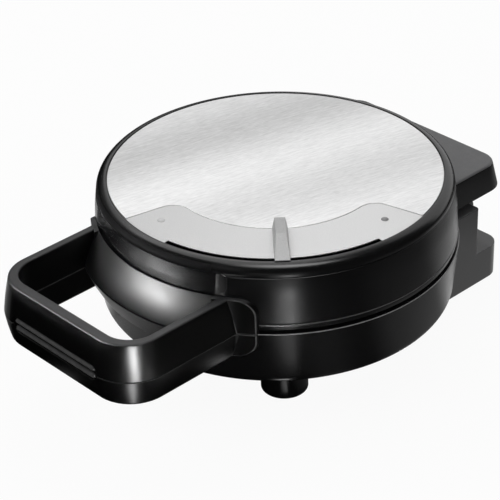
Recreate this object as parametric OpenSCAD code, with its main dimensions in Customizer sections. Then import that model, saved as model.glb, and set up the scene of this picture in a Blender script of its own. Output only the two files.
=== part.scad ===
// Round waffle cone maker: a hinged lid with a brushed steel disc over a round base,
// a split loop handle in front, a stepped hinge stand behind, and a browning slider on the lid.
// Millimetres, +Z up, table at z = 0, front (handle) towards -Y, hinge towards +Y.

/* [Body] */
// Radius of the brushed steel disc on the lid
disc_r = 100; // [96:1:104]
// Height of the disc's top face above the table
disc_z = 105; // [103:0.5:108]
// Thickness of the steel disc
disc_t = 0.8; // [0.6:0.1:1]
// Height of the plane where lid and base part
part_z = 65.5; // [65:0.1:66]
// Height of the base's flat underside above the table
base_z = 26; // [25:0.5:27]
// Wall thickness of the moulded casings
wall = 2.5; // [2.2:0.1:2.8]
// Radius of the rounded bead round the disc
bead_r = 6; // [5.5:0.1:6.5]
// Rounding of the base's lower edge
edge_round = 7; // [5:0.5:8]

/* [Handle] */
// Half width of the handle at its top edge
handle_half_w = 57.9; // [56:0.1:60]
// Distance from the body's axis to the handle's front, at its top edge
handle_reach = 168.3; // [160:0.1:176]
// Outer corner radius of the handle at its top edge
handle_corner = 22.5; // [18:0.5:26]
// Height of the handle's top face above the table
handle_top_z = 85; // [84:0.5:86]
// Height of the handle's underside above the table
handle_low_z = 46; // [44:0.5:48]
// How far the handle's outer walls lean out from the top to the split
handle_draft = 4.2; // [3:0.1:5]
// How far the outer walls of the lower half draw in to the underside
handle_taper = 3; // [2:0.1:4]
// Half width of the hand opening
opening_half_w = 52.7; // [50:0.1:54]
// Distance from the body's axis to the front of the hand opening
opening_reach = 161.8; // [155:0.1:163]
// Corner radius of the hand opening
opening_corner = 16.5; // [12:0.5:18]
// Half width of the saddle flange that hugs the body
flange_half_w = 71; // [68:0.5:74]
// Radius of the apron between the arms, at the split
apron_r = 117.2; // [116:0.1:118]

/* [Hinge] */
// Half width of the hinge cover at its top
cover_half_w = 62.1; // [60:0.1:63]
// Distance from the body's axis to the rear of the hinge cover, at its top
cover_reach = 133.9; // [130:0.1:135]
// Height of the hinge cover's top face above the table
cover_z = 82.6; // [81:0.1:84]
// Corner radius of the hinge cover at its top
cover_corner = 12.5; // [11:0.5:14]
// How far the hinge cover's sides lean out down to its lower edge
cover_draft = 2.7; // [2:0.1:3]
// How far the hinge cover's rear leans out down to its lower edge
cover_rear_draft = 4.6; // [2:0.1:4.8]
// Distance from the body's axis to the rear of the hinge tower
tower_reach = 112; // [111.5:0.1:112.5]
// Height of the hinge tower above the table
tower_z = 58; // [57:0.5:58.5]
// Height of the rear stand's ledge above the table
ledge_z = 24.4; // [22:0.1:25]
// Distance from the body's axis to the hinge pin
hinge_y = 110; // [109.5:0.1:110.5]
// Height of the hinge pin above the table
hinge_z = 55; // [54.5:0.1:55.5]
// Diameter of the hinge pin
pin_d = 5; // [4:0.5:6]

/* [Slider] */
// Inner radius of the crescent scale plate
scale_r = 66; // [62:1:70]
// Half of the angle that the scale plate covers
scale_half_angle = 58; // [54:1:60]
// Direction of the middle of the scale plate
scale_angle = -45.2; // [-50:0.1:-40]
// Half of the angle that the slider's slot covers
slot_half_angle = 37.5; // [36:0.5:40]
// Inner radius of the slider's slot
slot_r = 96.6; // [96.4:0.1:97]
// Direction of the slider at rest
knob_angle = -42; // [-50:1:-30]
// Height of the slider knob above the disc
knob_h = 8; // [6:0.5:10]

/* [Baking plates] */
// Radius of the baking plates
plate_r = 97; // [96:0.5:98]
// Distance between the ribs of the waffle grid
rib_pitch = 14; // [12:0.5:18]
// Height of the ribs of the waffle grid
rib_h = 1.2; // [0.8:0.1:1.4]
// Radius of the ring in the heating elements
element_r = 62; // [56:1:66]

/* [Feet] */
// Diameter of a front foot
foot_d = 28; // [24:0.5:30]
// Distance from the body's axis to a front foot
foot_radius = 73.5; // [68:0.5:74]
// Direction of the right front foot
foot_angle = -41.6; // [-50:0.1:-40]

/* [Hidden] */
$fn = 96;

// Small number that keeps cuts clear of faces
eps = 0.5;
// Distance that keeps lid and base apart where they face each other
gap = 0.4;
big = 400;

// Lid outline, from the disc down to the skirt's lower edge
recess_r = disc_r + 0.4;
deck_z = disc_z - disc_t;
bead_c_r = disc_r + 0.5;
bead_c_z = disc_z + 0.2 - bead_r;
bead_out_r = bead_c_r + bead_r;
crease_z = bead_c_z - 1;
crease_depth = 0.8;
skirt_top_z = crease_z - 0.8;
skirt_top_r = bead_out_r + 0.3;
skirt_mid_z = disc_z - 16;
skirt_mid_r = skirt_top_r + 1;
skirt_low_z = part_z + 2;
skirt_low_r = skirt_top_r + 2.4;
lip_r = skirt_low_r - 2.7;
lip_in_r = plate_r + 2.2;
lid_inner_r = disc_r + 1.4;

// Base outline
base_rim_z = part_z - 2.6;
base_rim_r = skirt_low_r + 0.8;
base_low_r = base_rim_r - 2.8;
base_round_r = base_low_r - edge_round;
cover_plate_r = 95;
cover_flange_r = 88;

// Handle levels and the finger recess in the front bar
split_z = base_rim_z + 0.1;
flange_r = skirt_low_r + 1.8;
flange_low_z = handle_low_z + 2;
apron_top_r = flange_r - 2.4;
flange_corner = 10;
recess_half_w = 37;
recess_depth = 1.8;
recess_top_z = split_z + 4.8;
recess_low_z = split_z - 4.5;
grip_rib_r = 1.6;
upper_rib_z = split_z + 2.7;
lower_rib_z = split_z - 2.1;
arm_screw_x = 55.5;
upper_arm_screw_z = 78;
lower_arm_screw_z = 54;

// Hinge
cover_low_z = part_z - 0.5;
stand_half_w = cover_half_w + cover_draft;
stand_reach = cover_reach + 1.6;
stand_front_y = 84;
stand_corner = 11;
pad_h = 1.5;
pad_sunk = 2.5;
pad_r = 10;
rear_pad_r = 7;
pad_inset = 14;
foot_seat_z = pad_h + 8;
knuckle_r = 6;
arm_x = 49;
arm_w = 6;
ear_w = 4.5;
ear_gap = 0.4;
horn_x = 36;
pin_fit = 0.05;
pin_len = 20;
stand_screw_x = 50;
stand_screw_z = 38;
cover_screw_x = 30;
cover_screw_z = 77.5;
notch_z = 47;
gland_z = 13;
gland_r = 6.5;
gland_len = 16;
gland_rim_r = 9;
gland_rim_t = 1.5;
lead_y = 97.5;
lead_r = 4.5;
cord_hole_r = 3.75;

// Slider parts
lever_z = deck_z - wall - 3.1;
lever_t = 2;
stem_r = 98.5;
spindle_r = 3;
lens_r = 2.2;
lens_radius = 84.4;
power_angle = -94.6;
ready_angle = 3.1;

// Baking plates: rims meet at the parting plane, faces lie a little back from it
rim_gap = 0.2;
rim_w = 5;
face_depth = 1.6;
plate_t = 8.3;
upper_back_z = part_z + rim_gap + plate_t;
lower_back_z = part_z - rim_gap - plate_t;
tube_r = 3.25;
boss_radius = 30;
boss_h = 10.8;
plate_screw_radius = 93;
plate_screw_angles = [30, 150, 270];
boss_angles = [90, 210, 330];
screw_r = 1.85;
screw_hole_r = 1.9;
head_r = 3.6;
head_h = 2.3;

// The body's axis stands behind the middle of the whole object's length
axis_y = (handle_reach + handle_draft - cover_reach - cover_rear_draft) / 2;

black = [0.06, 0.06, 0.065];
dark = [0.1, 0.1, 0.105];
steel = [0.78, 0.78, 0.79];
silver = [0.7, 0.7, 0.71];
cast = [0.24, 0.24, 0.25];

// Moves a part from the body's axis to its place in the object's frame
module place() {
    translate([0, axis_y, 0]) children();
}

// Copies a part to each of a list of directions at one distance from the axis
module around(radius, angles) {
    for (a = angles)
        rotate([0, 0, a])
            translate([radius, 0, 0])
                children();
}

// Mirrored pair about the plane x = 0
module pair() {
    children();
    mirror([1, 0, 0]) children();
}

// Sector of a ring with its lower face at z
module ring_sector(r_in, r_out, from, to, z, h) {
    rotate([0, 0, from])
        rotate_extrude(angle = to - from)
            translate([r_in, z])
                square([r_out - r_in, h]);
}

// Slab from y = 0 to y = -reach with two rounded corners, whose walls lean out by spread towards low_z
module leaning_slab(half_w, reach, corner, top_z, low_z, spread) {
    rotate([90, 0, 90])
        translate([0, 0, corner - half_w])
            linear_extrude(2 * (half_w - corner))
                polygon([[0, low_z], [0, top_z], [-reach, top_z], [-reach - spread, low_z]]);
    rotate([90, 0, 0])
        linear_extrude(reach - corner)
            polygon([
                [-half_w, top_z], [half_w, top_z],
                [half_w + spread, low_z], [-half_w - spread, low_z]
            ]);
    for (side = [-1, 1])
        translate([side * (half_w - corner), corner - reach, low_z])
            cylinder(r1 = corner + spread, r2 = corner, h = top_z - low_z);
}

// Pan-head screw along +Z: the head's underside is at z = 0 and the shank runs up
module screw(length, shank = screw_r) {
    translate([0, 0, -head_h]) cylinder(r = head_r, h = head_h);
    translate([0, 0, -eps]) cylinder(r = shank, h = length + eps);
}

// Cylinder along +Y from one y to another
module rod_y(x, z, y0, y1, r) {
    translate([x, y0, z])
        rotate([-90, 0, 0])
            cylinder(r = r, h = y1 - y0);
}

// Screw along Y: dir 1 drives it towards +Y, dir -1 towards -Y
module screw_y(x, y, z, length, dir) {
    translate([x, y, z])
        rotate([-90 * dir, 0, 0])
            screw(length);
}

// Outer surfaces of the lid's skirt as one solid, carried straight down below its edge
module lid_envelope() {
    rotate_extrude()
        polygon([
            [0, base_rim_z - 10], [skirt_low_r, base_rim_z - 10], [skirt_low_r, skirt_low_z],
            [skirt_mid_r, skirt_mid_z], [skirt_top_r, skirt_top_z], [0, skirt_top_z]
        ]);
}

// Outline of the base in section
module base_section() {
    polygon([
        [0, base_z], [base_round_r, base_z], [base_low_r, base_z + edge_round],
        [base_rim_r, base_rim_z], [0, base_rim_z]
    ]);
    translate([base_round_r, base_z + edge_round]) circle(r = edge_round);
}

// Lower casing: drafted round wall, rounded lower edge, seat for the bottom cover and screw posts
module lower_casing() {
    post_low_z = 40;
    color(black)
        difference() {
            union() {
                rotate_extrude()
                    difference() {
                        union() {
                            base_section();
                            translate([lip_in_r, base_rim_z - 5])
                                square([lip_r - lip_in_r, part_z - 0.3 - base_rim_z + 5]);
                        }
                        polygon([
                            [0, base_z + 5], [base_round_r - 2, base_z + 5],
                            [base_low_r - wall, base_z + edge_round + 2], [base_rim_r - wall, base_rim_z - 4],
                            [lip_in_r, base_rim_z - 4], [lip_in_r, part_z], [0, part_z]
                        ]);
                        translate([0, base_z - eps]) square([cover_plate_r + 0.2, wall + eps]);
                        translate([0, base_z - eps]) square([cover_flange_r, 10]);
                    }
                around(plate_screw_radius, plate_screw_angles) {
                    translate([0, 0, post_low_z]) cylinder(r = 5, h = lower_back_z - post_low_z);
                    translate([0, -1.5, post_low_z]) cube([base_low_r - plate_screw_radius - 1, 3, 12]);
                }
            }
            around(plate_screw_radius, plate_screw_angles)
                translate([0, 0, post_low_z - eps]) cylinder(r = screw_hole_r, h = 30);
            around(cover_plate_r - 3.5, [45, 135, 225, 315])
                translate([0, 0, base_z]) cylinder(r = screw_hole_r, h = 6);
            pair() rod_y(arm_screw_x, lower_arm_screw_z, -big / 4, -80, screw_hole_r + 0.2);
            pair() rod_y(stand_screw_x, stand_screw_z, 80, big / 4, screw_hole_r + 0.2);
            translate([0, lead_y, base_z - eps]) cylinder(r = lead_r, h = 8);
        }
}

// Bottom cover: flat disc with cooling slots and bosses for the feet
module bottom_cover() {
    slots = 18;
    color(dark)
        difference() {
            union() {
                translate([0, 0, base_z]) cylinder(r = cover_plate_r, h = wall);
                around(foot_radius, [foot_angle, 180 - foot_angle])
                    translate([0, 0, base_z]) cylinder(r = 5, h = 8);
            }
            around(cover_plate_r - 3.5, [45, 135, 225, 315])
                translate([0, 0, base_z - eps]) cylinder(r = screw_hole_r + 0.2, h = 10);
            around(foot_radius, [foot_angle, 180 - foot_angle])
                translate([0, 0, base_z - eps]) cylinder(r = screw_hole_r, h = 10);
            for (i = [0 : slots - 1])
                rotate([0, 0, i * 360 / slots])
                    translate([28, -1.5, base_z - eps]) cube([20, 3, 10]);
        }
}

module bottom_screws() {
    color(steel)
        around(cover_plate_r - 3.5, [45, 135, 225, 315])
            translate([0, 0, base_z]) screw(5.5);
}

// Front feet: round posts with a chamfered lower edge and a pocket for the rubber pad
module front_feet() {
    chamfer = 1.2;
    hole = screw_hole_r + 0.3;
    well = head_r + 0.6;
    color(black)
        around(foot_radius, [foot_angle, 180 - foot_angle])
            rotate_extrude()
                polygon([
                    [hole, base_z], [foot_d / 2, base_z], [foot_d / 2, pad_h + chamfer],
                    [foot_d / 2 - chamfer, pad_h], [pad_r + 0.2, pad_h], [pad_r + 0.2, pad_h + pad_sunk],
                    [well, pad_h + pad_sunk], [well, foot_seat_z], [hole, foot_seat_z]
                ]);
}

module foot_screws() {
    color(steel)
        around(foot_radius, [foot_angle, 180 - foot_angle])
            translate([0, 0, foot_seat_z]) screw(base_z + 7.5 - foot_seat_z);
}

// Rubber pads under the two front feet and the two rear corners of the stand
module foot_pads() {
    color([0.13, 0.13, 0.13]) {
        around(foot_radius, [foot_angle, 180 - foot_angle])
            cylinder(r = pad_r, h = pad_h + pad_sunk);
        pair()
            translate([stand_half_w - pad_inset, stand_reach - pad_inset, 0])
                cylinder(r = rear_pad_r, h = pad_h + pad_sunk);
    }
}

// Plan of the rear stand, with rounded rear corners
module stand_plan(reach) {
    translate([-stand_half_w, stand_front_y]) square([2 * stand_half_w, reach - stand_corner - stand_front_y]);
    translate([stand_corner - stand_half_w, stand_front_y])
        square([2 * (stand_half_w - stand_corner), reach - stand_front_y]);
    for (side = [-1, 1])
        translate([side * (stand_half_w - stand_corner), reach - stand_corner]) circle(r = stand_corner);
}

// Rear stand: a ledge on the table that carries the base and the hinge tower
module rear_stand() {
    pad_x = stand_half_w - pad_inset;
    pad_y = stand_reach - pad_inset;
    color(black)
        difference() {
            union() {
                translate([0, 0, pad_h]) linear_extrude(ledge_z - pad_h) stand_plan(stand_reach);
                translate([-stand_half_w, stand_front_y, pad_h])
                    cube([2 * stand_half_w, tower_reach - stand_front_y, base_z - pad_h]);
            }
            pair()
                translate([pad_x, pad_y, -eps]) cylinder(r = rear_pad_r + 0.2, h = pad_h + pad_sunk + eps);
            // Cord gland seat, and the lead's way in and up into the base
            rod_y(0, gland_z, stand_reach - gland_len, stand_reach + 1, gland_r + 0.1);
            rod_y(0, gland_z, stand_reach - gland_rim_t, stand_reach + 1, gland_rim_r + 0.2);
            rod_y(0, gland_z, lead_y, stand_reach - 1, lead_r);
            translate([0, lead_y, gland_z - lead_r]) cylinder(r = lead_r, h = base_z);
        }
}

// Hinge tower: stands on the ledge against the base, with two horns whose ears hold the hinge pins
module hinge_tower() {
    ear_out_x = arm_x + arm_w / 2 + ear_gap;
    ear_in_x = arm_x - arm_w / 2 - ear_gap;
    color(black)
        difference() {
            union() {
                translate([-stand_half_w, stand_front_y, base_z])
                    cube([2 * stand_half_w, tower_reach - stand_front_y, tower_z - base_z]);
                pair()
                    translate([ear_in_x - ear_w, hinge_y, hinge_z])
                        rotate([0, 90, 0])
                            cylinder(r = knuckle_r, h = ear_out_x + ear_w - (ear_in_x - ear_w));
            }
            // Seat against the base
            rotate_extrude() base_section();
            // Notch between the two horns
            translate([-horn_x, 0, notch_z]) cube([2 * horn_x, big, tower_z]);
            // Slots for the lid's hinge arms, open above and behind
            pair()
                translate([ear_in_x, 0, hinge_z - knuckle_r - 2]) cube([arm_w + 2 * ear_gap, big, tower_z]);
            // Bores for the pins, open towards the notch
            pair()
                translate([horn_x - eps, hinge_y, hinge_z])
                    rotate([0, 90, 0])
                        cylinder(d = pin_d + 0.04, h = arm_x + arm_w / 2 + ear_w - horn_x);
            pair() rod_y(stand_screw_x, stand_screw_z, 80, 106, screw_hole_r);
        }
}

module stand_screws() {
    color(steel) pair() screw_y(stand_screw_x, 89.5, stand_screw_z, 15, 1);
}

module hinge_pins() {
    color(steel)
        pair()
            translate([arm_x + arm_w / 2 + ear_w - pin_len + 0.2, hinge_y, hinge_z])
                rotate([0, 90, 0])
                    cylinder(d = pin_d, h = pin_len - 1);
}

// Cord gland: a flanged bushing in the stand's rear face, with a clear bore for the mains lead
module cord_gland() {
    color(dark)
        difference() {
            union() {
                rod_y(0, gland_z, stand_reach - gland_len, stand_reach, gland_r);
                rod_y(0, gland_z, stand_reach - gland_rim_t, stand_reach, gland_rim_r);
            }
            rod_y(0, gland_z, stand_reach - gland_len - 1, stand_reach + 1, cord_hole_r);
        }
}

// Saddle flange: a plate on the body's wall with rounded corners, seen from the front
module saddle_flange(low_z, top_z) {
    intersection() {
        rotate_extrude() translate([0, handle_low_z - 10]) square([flange_r, 60]);
        rotate([90, 0, 0]) linear_extrude(big) {
            translate([-flange_half_w, flange_low_z + flange_corner])
                square([2 * flange_half_w, handle_top_z - flange_low_z - 2 * flange_corner]);
            translate([flange_corner - flange_half_w, flange_low_z])
                square([2 * (flange_half_w - flange_corner), handle_top_z - flange_low_z]);
            for (x = [flange_corner - flange_half_w, flange_half_w - flange_corner])
                for (z = [flange_low_z + flange_corner, handle_top_z - flange_corner])
                    translate([x, z]) circle(r = flange_corner);
        }
        translate([-big / 2, -big, low_z]) cube([big, big, top_z - low_z]);
    }
}

// Apron that closes the handle's loop against the body; section lists its outer edge from low_z to top_z
module apron(section, low_z, top_z) {
    intersection() {
        rotate_extrude() polygon(concat([[0, low_z]], section, [[0, top_z]]));
        translate([-opening_half_w - 1, -big, low_z]) cube([2 * opening_half_w + 2, big, top_z - low_z]);
    }
}

// Stadium-shaped recess in the handle's front face, from one height to another
module finger_recess(low_z, top_z) {
    r = (recess_top_z - recess_low_z) / 2;
    mid_z = (recess_top_z + recess_low_z) / 2;
    intersection() {
        translate([0, recess_depth - handle_reach - handle_draft, 0])
            rotate([90, 0, 0]) linear_extrude(20) {
                translate([r - recess_half_w, recess_low_z]) square([2 * (recess_half_w - r), 2 * r]);
                for (side = [-1, 1])
                    translate([side * (recess_half_w - r), mid_z]) circle(r = r);
            }
        translate([-big / 2, -big, low_z]) cube([big, big, top_z - low_z]);
    }
}

// Grip rib: a round bar with round ends along the recess
module grip_rib(z) {
    half = recess_half_w - 4;
    translate([-half, recess_depth - handle_reach - handle_draft, z]) {
        rotate([0, 90, 0]) cylinder(r = grip_rib_r, h = 2 * half);
        sphere(r = grip_rib_r);
        translate([2 * half, 0, 0]) sphere(r = grip_rib_r);
    }
}

// Hand opening through both halves of the handle
module hand_opening() {
    leaning_slab(opening_half_w, opening_reach, opening_corner, handle_top_z + eps, handle_low_z - eps, 0);
}

// Upper half of the loop handle, carried by the lid
module upper_handle() {
    low = split_z + gap / 2;
    // The apron bulges: it leans out below its top edge and stands upright at the split
    swell = [
        [apron_r, low], [apron_r - 0.2, low + 3], [apron_r - 0.9, low + 6],
        [apron_r - 2.9, low + 11], [apron_top_r, handle_top_z]
    ];
    color(black)
        difference() {
            union() {
                difference() {
                    leaning_slab(handle_half_w, handle_reach, handle_corner, handle_top_z, low, handle_draft);
                    hand_opening();
                    finger_recess(low - 1, handle_top_z);
                }
                apron(swell, low, handle_top_z);
                saddle_flange(low, handle_top_z);
                grip_rib(upper_rib_z);
            }
            lid_envelope();
            pair() rod_y(arm_screw_x, upper_arm_screw_z, -112, -80, screw_hole_r);
        }
}

module upper_handle_screws() {
    color(steel) pair() screw_y(arm_screw_x, -82.2, upper_arm_screw_z, 28, -1);
}

// Lower half of the loop handle, carried by the base
module lower_handle() {
    top = split_z - gap / 2;
    color(black)
        difference() {
            union() {
                difference() {
                    mirror([0, 0, 1])
                        leaning_slab(
                            handle_half_w + handle_draft - handle_taper, handle_reach + handle_draft - handle_taper,
                            handle_corner + handle_draft - handle_taper, -handle_low_z, -top, handle_taper
                        );
                    hand_opening();
                    finger_recess(handle_low_z, top + 1);
                }
                apron([[flange_r + 1, flange_low_z], [apron_r, top]], flange_low_z, top);
                saddle_flange(flange_low_z, top);
                grip_rib(lower_rib_z);
            }
            rotate_extrude() base_section();
            pair() rod_y(arm_screw_x, lower_arm_screw_z, -112, -80, screw_hole_r);
        }
}

module lower_handle_screws() {
    color(steel) pair() screw_y(arm_screw_x, -87.5, lower_arm_screw_z, 23, -1);
}

// Ribs of the waffle grid within a circle, standing on z = 0; shift moves the grid along both ways
module waffle_grid(shift) {
    rib_w = 2;
    n = floor(plate_r / rib_pitch) + 1;
    intersection() {
        cylinder(r = plate_r - rim_w - 2, h = rib_h);
        rotate([0, 0, 45])
            for (i = [-n : n]) {
                translate([i * rib_pitch + shift - rib_w / 2, -plate_r, 0]) cube([rib_w, 2 * plate_r, rib_h]);
                translate([-plate_r, i * rib_pitch + shift - rib_w / 2, 0]) cube([2 * plate_r, rib_w, rib_h]);
            }
    }
}

// Cast baking plate with its back at z = 0 and its rim up: rim, sunk face, waffle grid and rear bosses
module baking_plate(shift) {
    difference() {
        union() {
            rotate_extrude()
                polygon([
                    [0, 0], [plate_r, 0], [plate_r, plate_t], [plate_r - rim_w, plate_t],
                    [plate_r - rim_w - 1, plate_t - face_depth], [0, plate_t - face_depth]
                ]);
            translate([0, 0, plate_t - face_depth]) waffle_grid(shift);
            around(boss_radius, boss_angles)
                translate([0, 0, -boss_h]) cylinder(r = 4, h = boss_h);
        }
        around(boss_radius, boss_angles)
            translate([0, 0, -boss_h - eps]) cylinder(r = screw_hole_r, h = 10);
    }
}

// Countersunk holes for the screws that hold a plate
module plate_screw_holes(angles) {
    around(plate_screw_radius, angles) {
        translate([0, 0, -eps]) cylinder(r = screw_hole_r + 0.2, h = plate_t + 1);
        translate([0, 0, plate_t - 2]) cylinder(r1 = screw_hole_r + 0.2, r2 = head_r + 0.2, h = 2.01);
    }
}

// Countersunk plate screws, heads up at the rim
module plate_screws(angles) {
    around(plate_screw_radius, angles) {
        translate([0, 0, -12]) cylinder(r = screw_r, h = plate_t + 10.5);
        translate([0, 0, plate_t - 2]) cylinder(r1 = screw_r, r2 = head_r, h = 1.8);
    }
}

// Reflector screws, heads towards the reflector, shanks up into the plate's bosses
module reflector_screws() {
    around(boss_radius, boss_angles)
        translate([0, 0, -boss_h - 0.8]) screw(8);
}

// Tubular heating element: a ring with an opening at the rear and two cold ends turned away from the plate
module heating_element() {
    open_angle = 24;
    translate([0, 0, -tube_r]) {
        rotate([0, 0, 90 + open_angle / 2])
            rotate_extrude(angle = 360 - open_angle)
                translate([element_r, 0]) circle(r = tube_r);
        for (side = [-1, 1])
            rotate([0, 0, 90 + side * open_angle / 2])
                translate([element_r, 0, -15]) {
                    translate([0, 0, 6]) cylinder(r = tube_r + 0.8, h = 9 + tube_r - 0.2);
                    cylinder(r = 1.2, h = 10);
                }
    }
}

// Thin steel dish behind an element, standing on the plate's rear bosses
module heat_reflector() {
    sheet = 0.8;
    rim_r = 84;
    difference() {
        rotate_extrude()
            polygon([
                [0, -boss_h - sheet], [rim_r, -boss_h - sheet], [rim_r, -1], [rim_r - sheet, -1],
                [rim_r - sheet, -boss_h], [0, -boss_h]
            ]);
        around(boss_radius, boss_angles)
            translate([0, 0, -boss_h - 2]) cylinder(r = screw_hole_r + 0.2, h = 4);
        for (side = [-1, 1])
            rotate([0, 0, 90 + side * 12])
                translate([element_r, 0, -boss_h - 2]) cylinder(r = 5, h = 4);
    }
}

// Places a plate assembly in the base, back down
module in_base() {
    translate([0, 0, lower_back_z]) children();
}

// Places a plate assembly in the lid, turned over
module in_lid() {
    translate([0, 0, upper_back_z]) mirror([0, 0, 1]) children();
}

module lower_plate() {
    color(cast)
        in_base() difference() {
            baking_plate(0);
            plate_screw_holes(plate_screw_angles);
        }
}

module lower_plate_screws() {
    color(steel) in_base() plate_screws(plate_screw_angles);
}

module lower_element() {
    color(steel) in_base() heating_element();
}

module lower_reflector() {
    color(silver) in_base() heat_reflector();
}

module lower_reflector_screws() {
    color(steel) in_base() reflector_screws();
}

module upper_plate() {
    color(cast)
        in_lid() difference() {
            baking_plate(rib_pitch / 2);
            plate_screw_holes(plate_screw_angles);
        }
}

module upper_plate_screws() {
    color(steel) in_lid() plate_screws(plate_screw_angles);
}

module upper_element() {
    color(steel) in_lid() heating_element();
}

module upper_reflector() {
    color(silver) in_lid() heat_reflector();
}

module upper_reflector_screws() {
    color(steel) in_lid() reflector_screws();
}

// Terminal block for the mains lead, on the bottom cover behind the axis
module terminal_block() {
    pitch = 12;
    color([0.85, 0.83, 0.78])
        difference() {
            translate([-19, 58, base_z + wall]) cube([38, 14, 9]);
            for (i = [-1 : 1]) {
                rod_y(i * pitch, base_z + wall + 4, 50, 80, 2);
                translate([i * pitch, 65, base_z + wall + 4]) cylinder(r = 2.2, h = 10);
            }
        }
}

// Thermal fuse clipped under the lower reflector
module thermal_fuse() {
    z = lower_back_z - boss_h - 0.8 - 3;
    color(steel) {
        rod_y(20, z, -12, 12, 2.2);
        rod_y(20, z, -26, 26, 0.6);
        translate([17, -3, z - 2.6]) cube([6, 6, 5.6]);
    }
}

// Upper casing: deck under the disc, rounded bead, drafted skirt with a scooped front, slot and posts
module upper_casing() {
    scoop_in_r = disc_r + 4;
    scoop_half = 29;
    deck_low_z = deck_z - wall;
    color(black)
        difference() {
            union() {
                rotate_extrude() {
                    intersection() {
                        translate([bead_c_r, bead_c_z]) circle(r = bead_r);
                        translate([recess_r, bead_c_z]) square([20, 20]);
                    }
                    polygon([
                        [0, deck_z], [bead_c_r + 1, deck_z], [bead_c_r + 1, bead_c_z], [bead_out_r, bead_c_z],
                        [bead_out_r, crease_z], [bead_out_r - crease_depth, (crease_z + skirt_top_z) / 2],
                        [skirt_top_r, skirt_top_z], [skirt_mid_r, skirt_mid_z], [skirt_low_r, skirt_low_z],
                        [lip_r, skirt_low_z], [lip_r, part_z + 0.3], [lip_in_r, part_z + 0.3],
                        [lip_in_r, skirt_low_z + 1], [lid_inner_r, skirt_low_z + 4], [lid_inner_r, deck_low_z],
                        [0, deck_low_z]
                    ]);
                }
                around(plate_screw_radius, plate_screw_angles)
                    translate([0, 0, upper_back_z]) cylinder(r = 5, h = deck_low_z + 1 - upper_back_z);
            }
            around(plate_screw_radius, plate_screw_angles)
                translate([0, 0, upper_back_z - eps]) cylinder(r = screw_hole_r, h = 14);
            // Scoop in the skirt behind the handle
            rotate([0, 0, -90 - scoop_half])
                rotate_extrude(angle = 2 * scoop_half)
                    polygon([
                        [scoop_in_r, skirt_top_z - 0.4], [big / 3, skirt_top_z - 0.4],
                        [big / 3, handle_top_z], [skirt_mid_r + 0.2, handle_top_z]
                    ]);
            // Slot for the slider's stem
            ring_sector(
                slot_r - 0.4, recess_r + 0.2, scale_angle - slot_half_angle, scale_angle + slot_half_angle,
                deck_low_z - eps, 10
            );
            around(lens_radius, [power_angle, ready_angle])
                translate([0, 0, deck_low_z - eps]) cylinder(r = lens_r + 0.1, h = 10);
            pair() rod_y(arm_screw_x, upper_arm_screw_z, -big / 4, -80, screw_hole_r + 0.2);
            pair() rod_y(cover_screw_x, cover_screw_z, 80, big, screw_hole_r + 0.2);
        }
}

// Plan of the crescent scale plate; grow widens it all round
module scale_plan(grow) {
    end_angle = scale_half_angle;
    reach = 2 * disc_r;
    corner = 11;
    inner = scale_r - grow;
    difference() {
        intersection() {
            circle(r = disc_r + 0.2);
            polygon([
                [0, 0], reach * [cos(scale_angle - end_angle), sin(scale_angle - end_angle)],
                reach * [cos(scale_angle), sin(scale_angle)],
                reach * [cos(scale_angle + end_angle), sin(scale_angle + end_angle)]
            ]);
        }
        circle(r = inner);
        // Rounded inner corners
        for (side = [-1, 1])
            rotate(scale_angle + side * end_angle)
                scale([1, side])
                    difference() {
                        translate([inner - 1, -corner]) square([corner, corner + 1]);
                        translate([inner + corner - 1.5, -corner]) circle(r = corner);
                    }
    }
}

module lid_disc() {
    color(steel)
        translate([0, 0, deck_z])
            difference() {
                cylinder(r = disc_r, h = disc_t);
                translate([0, 0, -eps]) linear_extrude(disc_t + 1) scale_plan(0.15);
            }
}

// Crescent scale plate, set a little below the disc, with the slider's slot along its outer edge
module scale_plate() {
    color(silver)
        translate([0, 0, deck_z])
            linear_extrude(disc_t - 0.3)
                difference() {
                    scale_plan(0);
                    rotate(scale_angle - slot_half_angle)
                        difference() {
                            polygon([
                                [0, 0], [2 * disc_r, 0],
                                2 * disc_r * [cos(slot_half_angle), sin(slot_half_angle)],
                                2 * disc_r * [cos(2 * slot_half_angle), sin(2 * slot_half_angle)]
                            ]);
                            circle(r = slot_r);
                        }
                    for (a = [power_angle, ready_angle])
                        rotate(a) translate([lens_radius, 0]) circle(r = lens_r + 0.1);
                }
}

// Domed lens of an indicator lamp
module lens(angle) {
    around(lens_radius, [angle])
        translate([0, 0, deck_z - wall]) {
            cylinder(r = lens_r, h = wall + disc_t - 0.1);
            translate([0, 0, wall + disc_t - 0.1])
                intersection() {
                    translate([0, 0, -4]) sphere(r = sqrt(16 + lens_r * lens_r));
                    cylinder(r = lens_r, h = 2);
                }
        }
}

module power_lens() {
    color([0.85, 0.86, 0.84]) lens(power_angle);
}

module ready_lens() {
    color([0.35, 0.36, 0.36]) lens(ready_angle);
}

module indicator_lamps() {
    color([0.9, 0.6, 0.4])
        around(lens_radius, [power_angle, ready_angle])
            translate([0, 0, deck_z - wall - 10]) {
                cylinder(r = 2.8, h = 8);
                translate([0, 0, 8]) cylinder(r = 1.8, h = 2);
            }
}

// Plan of the hinge cover from the body's axis back, with rounded rear corners
module hood_plan(half_w, reach, corner) {
    translate([-half_w, 0]) square([2 * half_w, reach - corner]);
    for (side = [-1, 1])
        translate([side * (half_w - corner), reach - corner]) circle(r = corner);
}

// Hood between two heights: inset shrinks its top, and its walls lean out towards low_z
module hood(inset, low_z, extra) {
    thin = 0.1;
    half_w = cover_half_w - inset;
    reach = cover_reach - inset;
    corner = cover_corner - inset;
    hull() {
        translate([0, 0, cover_z - inset - thin]) linear_extrude(thin) hood_plan(half_w, reach, corner);
        translate([0, 0, low_z])
            linear_extrude(thin)
                hood_plan(
                    half_w + cover_draft + extra, reach + cover_rear_draft + extra, corner + cover_draft + extra
                );
    }
}

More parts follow.
